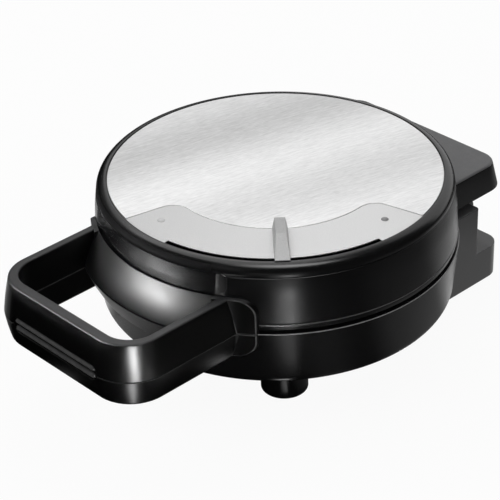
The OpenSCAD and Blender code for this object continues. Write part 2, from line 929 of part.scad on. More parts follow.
// Hinge cover: a leaning shell behind the lid with two arms that turn on the hinge pins
module hinge_cover() {
    color(black)
        difference() {
            union() {
                difference() {
                    hood(0, cover_low_z, 0);
                    difference() {
                        hood(wall, cover_low_z - 2, 0.3);
                        translate([0, 0, cover_low_z - 5]) cylinder(r = flange_r + 1.5, h = 40);
                    }
                }
                pair() {
                    translate([arm_x - arm_w / 2, hinge_y - knuckle_r, hinge_z])
                        cube([arm_w, 2 * knuckle_r, cover_z - 1 - hinge_z]);
                    translate([arm_x - arm_w / 2, hinge_y, hinge_z])
                        rotate([0, 90, 0]) cylinder(r = knuckle_r, h = arm_w);
                }
            }
            lid_envelope();
            pair()
                translate([arm_x - arm_w, hinge_y, hinge_z])
                    rotate([0, 90, 0]) cylinder(d = pin_d + 2 * pin_fit, h = 2 * arm_w);
            pair() rod_y(cover_screw_x, cover_screw_z, 100, 111, screw_hole_r);
        }
}

module hinge_cover_screws() {
    color(steel) pair() screw_y(cover_screw_x, 95.4, cover_screw_z, 15, 1);
}

// Thermostat body with the bush for its spindle
module thermostat() {
    bush_z = lever_z - 0.4;
    color([0.8, 0.78, 0.72])
        difference() {
            union() {
                translate([-15, -10, bush_z - 8]) cube([30, 20, 6]);
                translate([0, 0, bush_z - 3]) cylinder(r = 5, h = 3);
            }
            translate([0, 0, bush_z - 7]) cylinder(r = spindle_r + pin_fit, h = 10);
        }
}

// Bent strip that carries the thermostat on the upper reflector
module thermostat_bracket() {
    top_z = lever_z - 0.4 - 8;
    seat_z = upper_back_z + boss_h + 0.8;
    sheet = 1.2;
    color(steel) {
        translate([-15, -10, top_z - sheet]) cube([30, 20, sheet]);
        for (side = [-1, 1]) {
            translate([side * 15 - sheet / 2, -10, seat_z]) cube([sheet, 20, top_z - seat_z]);
            translate([side * 19 - 4.5, -10, seat_z]) cube([9, 20, sheet]);
        }
    }
}

// Slider knob: a wedge pointer with a stem down through the slot
module slider_knob() {
    low_z = disc_z + 0.4;
    top_z = disc_z + knob_h;
    tip_r = 66;
    crest_r = 84;
    tail_r = disc_r + 1;
    color(silver)
        rotate([0, 0, knob_angle]) {
            hull() {
                translate([tip_r, -4.4, low_z]) cube([tail_r - tip_r, 8.8, 0.6]);
                translate([tip_r + 0.6, -3.1, top_z - 0.6]) cube([crest_r - tip_r - 0.6, 6.2, 0.6]);
            }
            translate([stem_r - 1.2, -2.5, lever_z]) cube([2.4, 5, low_z + 0.3 - lever_z]);
        }
}

// Lever under the deck, from the spindle out to the knob's stem
module slider_lever() {
    hub_r = 8;
    color(steel)
        rotate([0, 0, knob_angle])
            translate([0, 0, lever_z])
                difference() {
                    union() {
                        cylinder(r = hub_r, h = lever_t);
                        translate([0, -4.5, 0]) cube([disc_r, 9, lever_t]);
                    }
                    translate([0, 0, -eps]) cylinder(r = spindle_r, h = lever_t + 1);
                    translate([stem_r - 1.2, -2.5, -eps]) cube([2.4, 5, lever_t + 1]);
                }
}

module thermostat_spindle() {
    color(steel)
        translate([0, 0, lever_z - 6]) cylinder(r = spindle_r, h = 6 + lever_t);
}

place() lower_casing();
place() bottom_cover();
place() bottom_screws();
place() front_feet();
place() foot_screws();
place() foot_pads();
place() rear_stand();
place() hinge_tower();
place() stand_screws();
place() hinge_pins();
place() cord_gland();
place() lower_handle();
place() lower_handle_screws();
place() lower_plate();
place() lower_plate_screws();
place() lower_element();
place() lower_reflector();
place() lower_reflector_screws();
place() terminal_block();
place() thermal_fuse();
place() upper_casing();
place() lid_disc();
place() scale_plate();
place() power_lens();
place() ready_lens();
place() indicator_lamps();
place() upper_handle();
place() upper_handle_screws();
place() hinge_cover();
place() hinge_cover_screws();
place() upper_plate();
place() upper_plate_screws();
place() upper_element();
place() upper_reflector();
place() upper_reflector_screws();
place() thermostat();
place() thermostat_bracket();
place() slider_knob();
place() slider_lever();
place() thermostat_spindle();
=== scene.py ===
"""Round waffle cone maker: finished meshes, materials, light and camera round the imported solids."""

import math

import bmesh
import bpy
from mathutils import Matrix, Vector

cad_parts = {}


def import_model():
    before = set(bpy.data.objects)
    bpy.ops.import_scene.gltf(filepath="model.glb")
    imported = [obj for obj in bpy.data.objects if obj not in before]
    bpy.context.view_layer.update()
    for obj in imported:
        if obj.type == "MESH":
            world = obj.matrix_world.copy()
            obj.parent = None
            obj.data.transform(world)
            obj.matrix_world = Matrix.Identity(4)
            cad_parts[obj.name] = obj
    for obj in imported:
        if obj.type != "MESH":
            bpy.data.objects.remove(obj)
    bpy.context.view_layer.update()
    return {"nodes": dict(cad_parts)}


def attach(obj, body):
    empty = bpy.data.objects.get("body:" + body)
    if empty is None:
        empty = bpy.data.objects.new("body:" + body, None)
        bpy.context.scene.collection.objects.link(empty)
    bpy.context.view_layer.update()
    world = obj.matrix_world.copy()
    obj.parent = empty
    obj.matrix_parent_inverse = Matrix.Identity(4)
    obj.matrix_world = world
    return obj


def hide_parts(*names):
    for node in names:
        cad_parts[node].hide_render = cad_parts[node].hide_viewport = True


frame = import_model()
NODES = frame["nodes"]

# Sizes in millimetres from the body's axis, as in the part's source
MM = 0.001
AXIS_Y = 17.0
DISC_R = 100.0
DISC_GAP = 0.35
DISC_Z = 105.0
DECK_Z = 104.2
SLOT_R = 96.6
SCALE_ANGLE = -45.2
SCALE_HALF = 58.0
SLOT_HALF = 37.5
SCALE_R = 66.0
SCALE_CORNER = 11.0
SCALE_TUCK = 1.5
SPLIT_LOW = 62.8
SPLIT_HIGH = 63.2
HANDLE_TOP = 85.0
HANDLE_LOW = 46.0
FLANGE_R = 111.0
HINGE_Y = 110.0
HINGE_Z = 55.0
KNOB_ANGLE = -42.0


# Small geometry helpers
def world(p):
    return (p[0] * MM, (p[1] + AXIS_Y) * MM, p[2] * MM)


def cosd(deg):
    return math.cos(math.radians(deg))


def sind(deg):
    return math.sin(math.radians(deg))


def polar(r, deg, z):
    return (r * cosd(deg), r * sind(deg), z)


def on_circle(cx, cy, r, deg):
    return (cx + r * cosd(deg), cy + r * sind(deg))


def smoothstep(t):
    t = min(1.0, max(0.0, t))
    return t * t * (3 - 2 * t)


def spread(start, end, count):
    return [start + (end - start) * i / (count - 1) for i in range(count)]


def arc(cx, cy, r, start, end, count):
    """Points (x, y, no rounding) along an arc, angles in degrees."""
    return [(*on_circle(cx, cy, r, a), 0) for a in spread(start, end, count)]


# Most of a side's length that one corner's arc may take
CORNER_SHARE = 0.48


def rounded(corners, steps=5):
    """Closed outline through corners (x, y, radius); a corner with a radius becomes an arc."""
    out = []
    count = len(corners)
    for i, (x, y, radius) in enumerate(corners):
        here = Vector((x, y))
        if radius <= 0:
            out.append((x, y))
            continue
        back = Vector(corners[i - 1][:2]) - here
        ahead = Vector(corners[(i + 1) % count][:2]) - here
        room = CORNER_SHARE * min(back.length, ahead.length)
        back.normalize()
        ahead.normalize()
        angle = back.angle(ahead)
        cut = min(radius / math.tan(angle / 2), room)
        radius = cut * math.tan(angle / 2)
        centre = here + (back + ahead).normalized() * (radius / math.sin(angle / 2))
        first = here + back * cut - centre
        last = here + ahead * cut - centre
        a0 = math.atan2(first.y, first.x)
        turn = (math.atan2(last.y, last.x) - a0 + math.pi) % (2 * math.pi) - math.pi
        for k in range(steps + 1):
            a = a0 + turn * k / steps
            out.append((centre.x + radius * math.cos(a), centre.y + radius * math.sin(a)))
    return out


# Places of the painted edge highlight and the apron material in the list of a piece that is painted with them
PAINTED_HIGHLIGHT = 2
SOFT = 3


class Shells:
    """Closed shells gathered into one mesh."""

    def __init__(self):
        self.verts = []
        self.faces = []
        self.paints = []

    def add(self, verts, faces, paint=0):
        base = len(self.verts)
        self.verts += verts
        self.faces += [tuple(base + i for i in f) for f in faces]
        self.paints += [paint] * len(faces)

    def rings(self, rings, around=False, paint=0, ends=0):
        """Quads between rings of equal length; the ends are capped, or joined when around is set.

        The first and last few rows of quads, as many as ends says, get the painted edge highlight."""
        m = len(rings[0])
        n = len(rings)
        faces = []
        for k in range(n if around else n - 1):
            for j in range(m):
                a, b = k * m + j, k * m + (j + 1) % m
                c, d = ((k + 1) % n) * m + (j + 1) % m, ((k + 1) % n) * m + j
                faces.append((a, b, c, d))
        if not around:
            faces.append(tuple(reversed(range(m))))
            faces.append(tuple(range((n - 1) * m, n * m)))
        first = len(self.faces)
        self.add([p for ring in rings for p in ring], faces, paint)
        for k in range(first, first + m * ends):
            self.paints[k] = PAINTED_HIGHLIGHT
        for k in range(first + m * (n - 1 - ends), first + m * (n - 1)):
            self.paints[k] = PAINTED_HIGHLIGHT

    def slab(self, front, back, rim):
        """Closed slab between two grids, each a list of rows; a rim of the front gets the painted edge
        highlight.
        """
        rows, cols = len(front), len(front[0])
        total = rows * cols
        faces = []
        paints = []
        for i in range(rows - 1):
            for j in range(cols - 1):
                a, b = i * cols + j, i * cols + j + 1
                c, d = (i + 1) * cols + j + 1, (i + 1) * cols + j
                faces.append((a, b, c, d))
                faces.append((total + d, total + c, total + b, total + a))
                on_rim = i < rim or i >= rows - 1 - rim or j >= cols - 1 - rim
                paints += [PAINTED_HIGHLIGHT if on_rim else 0, 0]
        border = [(0, j) for j in range(cols)] + [(i, cols - 1) for i in range(1, rows)]
        border += [(rows - 1, j) for j in range(cols - 2, -1, -1)]
        border += [(i, 0) for i in range(rows - 2, 0, -1)]
        loop = [i * cols + j for i, j in border]
        for k, a in enumerate(loop):
            b = loop[(k + 1) % len(loop)]
            faces.append((b, a, total + a, total + b))
        first = len(self.faces)
        self.add([p for row in front for p in row] + [p for row in back for p in row], faces)
        self.paints[first : first + len(paints)] = paints


# Upward parts of a face's normal that tell tops, slanting edges and steep sides apart
LOOKS_UP = 0.45
SLANT_LOW, SLANT_HIGH = 0.25, 0.97
STEEP = 0.62


def piece(name, shells, body, nodes, slot, materials, **dress):
    """Makes the mesh of the shells and finishes the piece."""
    bm = bmesh.new()
    verts = [bm.verts.new(world(v)) for v in shells.verts]
    for f, paint in zip(shells.faces, shells.paints):
        bm.faces.new([verts[i] for i in f]).material_index = paint
    bmesh.ops.recalc_face_normals(bm, faces=bm.faces)
    mesh = bpy.data.meshes.new(name)
    bm.to_mesh(mesh)
    bm.free()
    finish_piece(name, mesh, body, nodes, slot, materials, **dress)


def finish_piece(name, mesh, body, nodes, slot, materials, top=None, sharp=32, edge=None, shade=None):
    """Makes the object, dresses it and lets it ride.

    Faces above the height top that look up get material 1, which lightens them with painted sheen. Slanting
    faces between the two heights of edge, outside the radius that it also gives, get the last material, a
    painted highlight line. Steep faces between the heights and the angles of shade get material 1, a duller
    black as painted shade. Edges sharper than the angle sharp stay hard."""
    obj = bpy.data.objects.new(name, mesh)
    bpy.context.scene.collection.objects.link(obj)
    for m in materials:
        mesh.materials.append(m)
    mesh.shade_smooth()
    mesh.set_sharp_from_angle(angle=math.radians(sharp))
    if top is not None:
        for p in mesh.polygons:
            if p.normal.z > LOOKS_UP and p.center.z > top * MM:
                p.material_index = 1
    if edge is not None:
        low, high, radius = (v * MM for v in edge)
        for p in mesh.polygons:
            out = math.hypot(p.center.x, p.center.y - AXIS_Y * MM)
            if low < p.center.z < high and out > radius and SLANT_LOW < p.normal.z < SLANT_HIGH:
                p.material_index = len(materials) - 1
    if shade is not None:
        low, high = (v * MM for v in shade[:2])
        first, last = shade[2:]
        for p in mesh.polygons:
            turn = math.degrees(math.atan2(p.center.y - AXIS_Y * MM, p.center.x))
            if low < p.center.z < high and first < turn < last and p.normal.z < STEEP:
                p.material_index = 1
    weighted = obj.modifiers.new("even_normals", "WEIGHTED_NORMAL")
    weighted.keep_sharp = True
    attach(obj, body)
    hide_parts(*nodes)


# Materials
PLASTIC_IOR = 1.5
# Range of a noise texture's values that ramps and spans are stretched over
NOISE_LOW, NOISE_HIGH = 0.3, 0.7
GRAIN_DEPTH = 0.00005
BRUSH_DEPTH = 0.00003


def material(name, color, metallic=0.0, roughness=0.4, specular=0.5):
    mat = bpy.data.materials.new(name)
    mat.use_nodes = True
    bsdf = mat.node_tree.nodes["Principled BSDF"]
    bsdf.inputs["Base Color"].default_value = (*color, 1)
    bsdf.inputs["Metallic"].default_value = metallic
    bsdf.inputs["Roughness"].default_value = roughness
    bsdf.inputs["Specular IOR Level"].default_value = specular
    bsdf.inputs["IOR"].default_value = PLASTIC_IOR
    return mat


def add(mat, kind, **inputs):
    node = mat.node_tree.nodes.new(kind)
    for key, value in inputs.items():
        node.inputs[key.replace("_", " ")].default_value = value
    return node


def link(mat, a, a_socket, b, b_socket):
    mat.node_tree.links.new(a.outputs[a_socket], b.inputs[b_socket])


def bsdf_of(mat):
    return mat.node_tree.nodes["Principled BSDF"]


def noise(mat, scale, detail=2.0, stretch=(1, 1, 1), turn=0.0):
    """Noise in the piece's own metres, stretched and turned about Z."""
    where = add(mat, "ShaderNodeTexCoord")
    mapping = add(mat, "ShaderNodeMapping")
    mapping.vector_type = "TEXTURE"
    mapping.inputs["Rotation"].default_value = (0, 0, math.radians(turn))
    mapping.inputs["Scale"].default_value = tuple(1 / v for v in stretch)
    tex = add(mat, "ShaderNodeTexNoise", Scale=scale, Detail=detail)
    link(mat, where, "Object", mapping, "Vector")
    link(mat, mapping, "Vector", tex, "Vector")
    return tex


def grain(mat, scale, strength):
    """Fine moulded texture as bump."""
    tex = noise(mat, scale, 3.0)
    bump = add(mat, "ShaderNodeBump", Strength=strength, Distance=GRAIN_DEPTH)
    link(mat, tex, "Fac", bump, "Height")
    link(mat, bump, "Normal", bsdf_of(mat), "Normal")


def vary(mat, scale, low, high, detail=2.0, stretch=(1, 1, 1)):
    """Varies the roughness between two values by noise."""
    tex = noise(mat, scale, detail, stretch)
    span = add(mat, "ShaderNodeMapRange")
    span.inputs["From Min"].default_value = NOISE_LOW
    span.inputs["From Max"].default_value = NOISE_HIGH
    span.inputs["To Min"].default_value = low
    span.inputs["To Max"].default_value = high
    link(mat, tex, "Fac", span, "Value")
    link(mat, span, "Result", bsdf_of(mat), "Roughness")


def tint(mat, scale, dark, light, detail=2.0):
    """Colours the base between two tones by noise."""
    tex = noise(mat, scale, detail)
    ramp = add(mat, "ShaderNodeValToRGB")
    ramp.color_ramp.elements[0].position = NOISE_LOW
    ramp.color_ramp.elements[1].position = NOISE_HIGH
    ramp.color_ramp.elements[0].color = (*dark, 1)
    ramp.color_ramp.elements[1].color = (*light, 1)
    link(mat, tex, "Fac", ramp, "Fac")
    link(mat, ramp, "Color", bsdf_of(mat), "Base Color")


def grey(value, cool=1.0):
    return (value, value, value * cool)


casing_black = material("casing_black", grey(0.006, 1.05), roughness=0.25, specular=0.5)
vary(casing_black, 90, 0.23, 0.27)
grain(casing_black, 2600, 0.04)

handle_black = material("handle_black", grey(0.003), roughness=0.3, specular=0.5)
vary(handle_black, 70, 0.28, 0.32)
grain(handle_black, 900, 0.03)

# Duller copy of the casing's black, put on a stretch of the bead's outer side over the handle as painted shade
# where it shows no highlight
painted_shade_black = material("painted_shade_black", grey(0.006, 1.05), roughness=0.6, specular=0.08)
vary(painted_shade_black, 90, 0.56, 0.64)

apron_black = material("apron_black", grey(0.005), roughness=0.38, specular=0.5)
vary(apron_black, 80, 0.36, 0.4)

# Satin black for the handle's top: rougher and grained, and its lighter base colour is painted sheen for the
# light that the top catches
satin_black_with_painted_sheen = material("satin_black_with_painted_sheen", grey(0.024, 1.04), roughness=0.42, specular=0.4)
vary(satin_black_with_painted_sheen, 120, 0.38, 0.46)
grain(satin_black_with_painted_sheen, 3000, 0.25)

# Grained black for the tops of the hinge cover and the stand: rougher and grained, and its lighter base colour
# is painted sheen
grained_black_with_painted_sheen = material("grained_black_with_painted_sheen", grey(0.08, 1.03), roughness=0.46, specular=0.5)
tint(grained_black_with_painted_sheen, 1400, grey(0.07, 1.03), grey(0.09, 1.03), 3.0)
vary(grained_black_with_painted_sheen, 120, 0.42, 0.5)
grain(grained_black_with_painted_sheen, 3000, 0.3)

# Painted highlight for thin edge lines: a lighter grey that stands in for the light that the edges catch
painted_edge_highlight = material("painted_edge_highlight", grey(0.08), roughness=0.38, specular=0.5)
tint(painted_edge_highlight, 300, grey(0.065), grey(0.095), 3.0)
vary(painted_edge_highlight, 200, 0.34, 0.44)

# Painted highlight for the base's rim: a pale grey line that stands in for the light along that edge
painted_rim_highlight = material("painted_rim_highlight", grey(0.24), roughness=0.38, specular=0.5)
tint(painted_rim_highlight, 300, grey(0.18), grey(0.3), 3.0)
vary(painted_rim_highlight, 200, 0.34, 0.44)

inner_black = material("inner_black", grey(0.012), roughness=0.5, specular=0.4)
vary(inner_black, 110, 0.45, 0.56)
grain(inner_black, 2200, 0.2)

fastener_steel = material("fastener_steel", grey(0.55), metallic=1.0, roughness=0.35)
vary(fastener_steel, 400, 0.28, 0.42)

pad_rubber = material("pad_rubber", grey(0.02), roughness=0.85, specular=0.3)
tint(pad_rubber, 700, grey(0.015), grey(0.027))
grain(pad_rubber, 1800, 0.35)

plate_coat = material("plate_coat", grey(0.03, 1.03), roughness=0.4, specular=0.45)
tint(plate_coat, 1500, grey(0.022, 1.03), grey(0.042, 1.03), 4.0)
grain(plate_coat, 3500, 0.2)

element_steel = material("element_steel", grey(0.35), metallic=1.0, roughness=0.4)
tint(element_steel, 160, (0.3, 0.29, 0.28), (0.42, 0.4, 0.38))

sheet_steel = material("sheet_steel", grey(0.6), metallic=1.0, roughness=0.32)
vary(sheet_steel, 300, 0.26, 0.38, 3.0, (1, 12, 1))

terminal_plastic = material("terminal_plastic", (0.72, 0.7, 0.63), roughness=0.5)
vary(terminal_plastic, 200, 0.45, 0.58)

lamp_glass = material("lamp_glass", (0.8, 0.42, 0.25), roughness=0.2)
vary(lamp_glass, 500, 0.15, 0.25)

lens_clear = material("lens_clear", grey(0.62), roughness=0.18)
vary(lens_clear, 600, 0.14, 0.24)

lens_smoke = material("lens_smoke", grey(0.22), roughness=0.18)
vary(lens_smoke, 600, 0.14, 0.24)


def brushed(name, metallic, tone, streaks, roughness, turn, painted_reflection_bands):
    """Brushed metal with fine streaks along one direction, and broad soft bands of painted reflection across it
    in the base colour.

    A streak gives its scales along and across and its height, a band its height, period and peak."""
    mat = material(name, grey(tone), metallic=metallic, roughness=roughness)
    across = Vector((-sind(turn), cosd(turn), 0))
    where = add(mat, "ShaderNodeTexCoord")
    total = None
    # Painted reflection: cosine bands of lighter and darker base colour across the brushing
    for height, period, peak in painted_reflection_bands:
        place = add(mat, "ShaderNodeVectorMath")
        place.operation = "DOT_PRODUCT"
        place.inputs[1].default_value = across * (2 * math.pi / period)
        link(mat, where, "Object", place, 0)
        phase = add(mat, "ShaderNodeMath")
        phase.operation = "SUBTRACT"
        phase.inputs[1].default_value = 2 * math.pi * peak / period
        link(mat, place, "Value", phase, 0)
        wave = add(mat, "ShaderNodeMath")
        wave.operation = "COSINE"
        link(mat, phase, 0, wave, 0)
        scaled = add(mat, "ShaderNodeMath")
        scaled.operation = "MULTIPLY_ADD"
        scaled.inputs[1].default_value = height
        scaled.inputs[2].default_value = tone
        link(mat, wave, 0, scaled, 0)
        if total:
            link(mat, total, 0, scaled, 2)
        total = scaled
    for along, side, height in streaks:
        streak = noise(mat, 1.0, 3.0, (along, side, 1), turn)
        scaled = add(mat, "ShaderNodeMath")
        scaled.operation = "MULTIPLY_ADD"
        scaled.inputs[1].default_value = height
        link(mat, streak, "Fac", scaled, 0)
        link(mat, total, 0, scaled, 2)
        total = scaled
    link(mat, total, 0, bsdf_of(mat), "Base Color")
    bump = add(mat, "ShaderNodeBump", Strength=0.12, Distance=BRUSH_DEPTH)
    link(mat, streak, "Fac", bump, "Height")
    link(mat, bump, "Normal", bsdf_of(mat), "Normal")
    return mat


disc_steel = brushed(
    "disc_steel",
    metallic=1.0,
    tone=0.36,
    streaks=[(70, 700, 0.26), (220, 2200, 0.32)],
    roughness=0.34,
    turn=75,
    painted_reflection_bands=[(0.076, 0.086, 0.0184), (0.047, 0.2, -0.0206)],
)
scale_silver = brushed(
    "scale_silver",
    metallic=0.6,
    tone=0.51,
    streaks=[(1600, 1600, 0.18)],
    roughness=0.5,
    turn=-43,
    painted_reflection_bands=[(0.062, 0.36, 0.06)],
)

knob_silver = material("knob_silver", grey(0.4), metallic=0.4, roughness=0.36)
tint(knob_silver, 2200, grey(0.33), grey(0.42), 3.0)
grain(knob_silver, 4000, 0.08)


# Upper casing: bead, crease, skirt with the scoop behind the handle, lip and deck ring
FRONT = -90.0
SCOOP_HALF = 29.0
SCOOP_EASE = 5.0
RING_STEP = 1.5


def turn_between(deg, other):
    return abs((deg - other + 180) % 360 - 180)


def scoop_amount(deg):
    return smoothstep((SCOOP_HALF + SCOOP_EASE / 2 - turn_between(deg, FRONT)) / SCOOP_EASE)


def in_slot(deg):
    return turn_between(deg, SCALE_ANGLE) < SLOT_HALF


def upper_section(deg):
    """Section of the lid's shell at an angle, from the deck over the bead and down to the seam."""
    scoop = scoop_amount(deg)

    def mix(plain, scooped):
        return tuple(p + (q - p) * scoop for p, q in zip(plain, scooped))

    if in_slot(deg):
        deck = [(100.45, DECK_Z - 0.2, 0), (100.42, DECK_Z, 0)]
        low_r = 100.45
    else:
        deck = [(SLOT_R - 0.4, DECK_Z, 0), (100.4, DECK_Z, 0)]
        low_r = SLOT_R - 0.4
    return rounded(
        deck
        + [(100.4, 105.0, 0)]
        + arc(100.5, 99.2, 6, 91, -5, 20)
        + [
            mix((106.5, 98.2, 0.25), (106.2, 98.1, 0.4)),
            mix((105.7, 97.8, 0.15), (104.6, 97.4, 0.3)),
            mix((106.8, 97.4, 0.6), (102.35, 97.0, 1.0)),
            mix((107.3, 93.2, 0), (103.4, 93.2, 0)),
            mix((107.8, 89, 0), (104.67, 89.0, 0)),
            mix((108.06, 85, 0), (106.35, 84.4, 0)),
            mix((108.25, 82, 0), (106.9, 81.5, 0)),
            mix((108.6, 77, 0), (108.2, 77, 0)),
            (109.15, 69.3, 0.35),
            (108.1, 69.1, 0),
            (108.1, 68.6, 0),
            (108.7, 68.6, 0),
            (108.95, 67.9, 0),
            (109.0, 67.2, 0),
            (108.9, 66.0, 0),
            (108.7, 64.9, 0.4),
            (107.4, 64.9, 0.2),
            (107.4, 65.8, 0),
            (99.2, 65.8, 0.3),
            (99.2, 68.5, 0),
            (101.4, 71.5, 0),
            (101.4, 101.7, 0),
            (low_r, 101.7, 0),
        ]
    )


def ring_angles(extra):
    """Even turns round the axis, with finer ones about each (centre, half, step)."""
    angles = set(round(-180 + RING_STEP * i, 3) for i in range(round(360 / RING_STEP)))
    for centre, half, step in extra:
        angles |= set(round(centre + d, 3) for d in spread(-half, half, int(2 * half / step) + 1))
    return sorted(angles)


FINE_TURNS = [(FRONT + side * SCOOP_HALF, 2.8, 0.4) for side in (-1, 1)]
FINE_TURNS += [(SCALE_ANGLE + side * SLOT_HALF, 0.02, 0.04) for side in (-1, 1)]
upper = Shells()
upper.rings(
    [[polar(r, deg, z) for r, z in upper_section(deg)] for deg in ring_angles(FINE_TURNS)],
    around=True,
)
deck_plate = [(80.5, 101.7), (81, 102.2), (81, 103.7), (80.5, DECK_Z)]
upper.rings([[polar(r, a, z) for a in range(0, 360, 3)] for r, z in deck_plate])
piece(
    "upper_casing_shell",
    upper,
    "lid",
    ["upper_casing"],
    "casing_black",
    [casing_black, painted_shade_black, painted_edge_highlight],
    # The lip's rounded top below the skirt gets a painted highlight line
    edge=(67.8, 68.7, 108),
    # A stretch of the bead's outer side over the handle gets the duller black as painted shade
    shade=(98, 103, -165, -64),
)

# Lower casing: rounded lower edge, drafted wall, rim and lip
BASE_ROUND = 7.0
BASE_ROUND_R, BASE_ROUND_Z = 100.2, 33.0
BASE_RIM_R, BASE_RIM_Z = 110.0, 62.9
lower_section = rounded(
    [(88, 28.5, 0.2), (95.2, 28.5, 0), (95.2, 26, 0.2)]
    + arc(BASE_ROUND_R, BASE_ROUND_Z, BASE_ROUND, -90, 0, 14)
    + [
        (BASE_RIM_R, BASE_RIM_Z, 0.6),
        (106.5, BASE_RIM_Z, 0),
        (106.5, 65.2, 0.3),
        (99.2, 65.2, 0.3),
        (99.2, 58.9, 0),
        (107.4, 58.9, 0),
        (104.7, 35, 0),
        (98.2, 31, 0),
        (88, 31, 0.2),
    ]
)
lower = Shells()
lower.rings([[polar(r, deg, z) for r, z in lower_section] for deg in ring_angles([])], around=True)
piece(
    "lower_casing_shell",
    lower,
    "base",
    ["lower_casing"],
    "casing_black",
    [casing_black, painted_rim_highlight],
    # The rim's rounded outer edge gets the pale painted highlight line
    edge=(62, 63, 109),
)

SKIRT_LOW_R, SKIRT_LOW_Z = 109.2, 67.5
SKIRT_MID_R, SKIRT_MID_Z = 107.8, 89.0
SKIRT_STEEPNESS = 8.4


def skirt_r(z):
    """Radius of the lid's skirt at a height, carried straight down below its edge."""
    if z < SKIRT_LOW_Z:
        return SKIRT_LOW_R
    if z < SKIRT_MID_Z:
        return SKIRT_LOW_R - (SKIRT_LOW_R - SKIRT_MID_R) * (z - SKIRT_LOW_Z) / (SKIRT_MID_Z - SKIRT_LOW_Z)
    return SKIRT_MID_R - (z - SKIRT_MID_Z) / SKIRT_STEEPNESS


def base_r(z):
    """Radius of the base's wall at a height."""
    if z < BASE_ROUND_Z:
        return BASE_ROUND_R + math.sqrt(max(0.0, BASE_ROUND**2 - (BASE_ROUND_Z - z) ** 2))
    low_r = BASE_ROUND_R + BASE_ROUND
    return low_r + (BASE_RIM_R - low_r) * (z - BASE_ROUND_Z) / (BASE_RIM_Z - BASE_ROUND_Z)


# Split loop handle: a section swept round the hand opening
ARM_STEPS = [0, 0.012, 0.024, 0.036, 0.048, 0.06, 0.08, 0.25, 0.4, 0.6, 0.8, 1]
# Rows at each end of the upper loop, where the arms meet the flange, that get the painted edge highlight
ARM_ENDS = 3
FRONT_STEPS = spread(-1, -0.86, 14) + spread(-0.85, 0.85, 25) + spread(0.86, 1, 14)
CORNER_STEPS = spread(0, 80, 14) + spread(81, 90, 19)
FLARE = 1.3
FLARE_LENGTH = 3.4
OPENING_HALF_W = 52.7
OPENING_REACH = 161.8
OPENING_CORNER = 16.5
REACH_EXTRA = 1.3
CORNER_EXTRA = 0.8
TOP_WIDTH = 5.2
FULL_WIDTH = 9.4
LOWER_TAPER = 3.0
FULLNESS = 0.3
SEAT_GAP = 0.4
TOUCH = 0.05
APRON_HALF_W = 54.0
FLANGE_LOW = 48.0
RECESS_STRAIGHT = 32.35
RECESS_R = 4.65
RECESS_Z = 63.15
RECESS_FLOOR = -170.7
RECESS_EASE = 0.7
RECESS_LOW, RECESS_HIGH = 57.0, 69.0
FRONT_FACE_Y = -165.0
RIB_R = 1.6
RIB_HALF = 33.0


def loop_size(d):
    """Half width, reach and corner radius of the loop at a distance d outside the hand opening."""
    grown = min(1.0, max(0.0, d / TOP_WIDTH))
    return OPENING_HALF_W + d, OPENING_REACH + d + REACH_EXTRA * grown, OPENING_CORNER + d + CORNER_EXTRA * grown


def loop_line(d, z, body_r):
    """Points along the loop from the left end to the right one."""
    half_w, reach, corner = loop_size(d)
    y_start = -math.sqrt(body_r(z) ** 2 - half_w**2)
    y_end = corner - reach
    arm = []
    for t in ARM_STEPS:
        y = y_start + (y_end - y_start) * t
        flare = FLARE * max(0.0, 1 - (y_start - y) / FLARE_LENGTH) ** 2 * max(0.0, d) / FULL_WIDTH
        arm.append((half_w + flare, y))
    bend = [on_circle(half_w - corner, y_end, corner, -a) for a in CORNER_STEPS[1:-1]]
    right = arm + bend
    front = [(f * (half_w - corner), -reach) for f in FRONT_STEPS]
    left = [(-x, y) for x, y in right]
    return [(x, y, z) for x, y in left + front + right[::-1]]


def finger_recess(p):
    """Sinks a point of the front face into the stadium-shaped finger recess."""
    x, y, z = p
    if y > FRONT_FACE_Y or not RECESS_LOW < z < RECESS_HIGH:
        return p
    away = math.hypot(max(abs(x) - RECESS_STRAIGHT, 0), z - RECESS_Z) - RECESS_R
    depth = smoothstep((RECESS_EASE / 2 - away) / RECESS_EASE)
    return (x, y + (max(y, RECESS_FLOOR) - y) * depth, z)


def sweep(shells, section, body_r, ends):
    """Loop of the handle with the given section, from one seat on the body to the other."""
    lines = [[finger_recess(p) for p in loop_line(d, z, body_r)] for d, z in section]
    shells.rings([[line[k] for line in lines] for k in range(len(lines[0]))], ends=ends)


def grip_rib(shells, z):
    """Round bar with round ends along the finger recess."""
    ends = [(sind(a), cosd(a)) for a in spread(90, 0, 6)]
    profile = [(-RIB_HALF - RIB_R * s, RIB_R * c) for s, c in ends]
    profile += [(RIB_HALF + RIB_R * s, RIB_R * c) for s, c in reversed(ends)]
    # The ribs get the painted edge highlight, which lightens them as if their tops caught the light
    shells.rings(
        [[(x, *on_circle(RECESS_FLOOR, z, max(q, 0.01), a)) for a in range(0, 360, 15)] for x, q in profile],
        paint=PAINTED_HIGHLIGHT,
    )


def apron(shells, section, paint=0):
    """Part of a ring between the handle's arms."""
    rows = []
    for u in spread(-1, 1, 49):
        rows.append(
            [polar(r, FRONT + u * math.degrees(math.asin(APRON_HALF_W / r)), z) for r, z in rounded(section)]
        )
    shells.rings(rows, paint=paint)


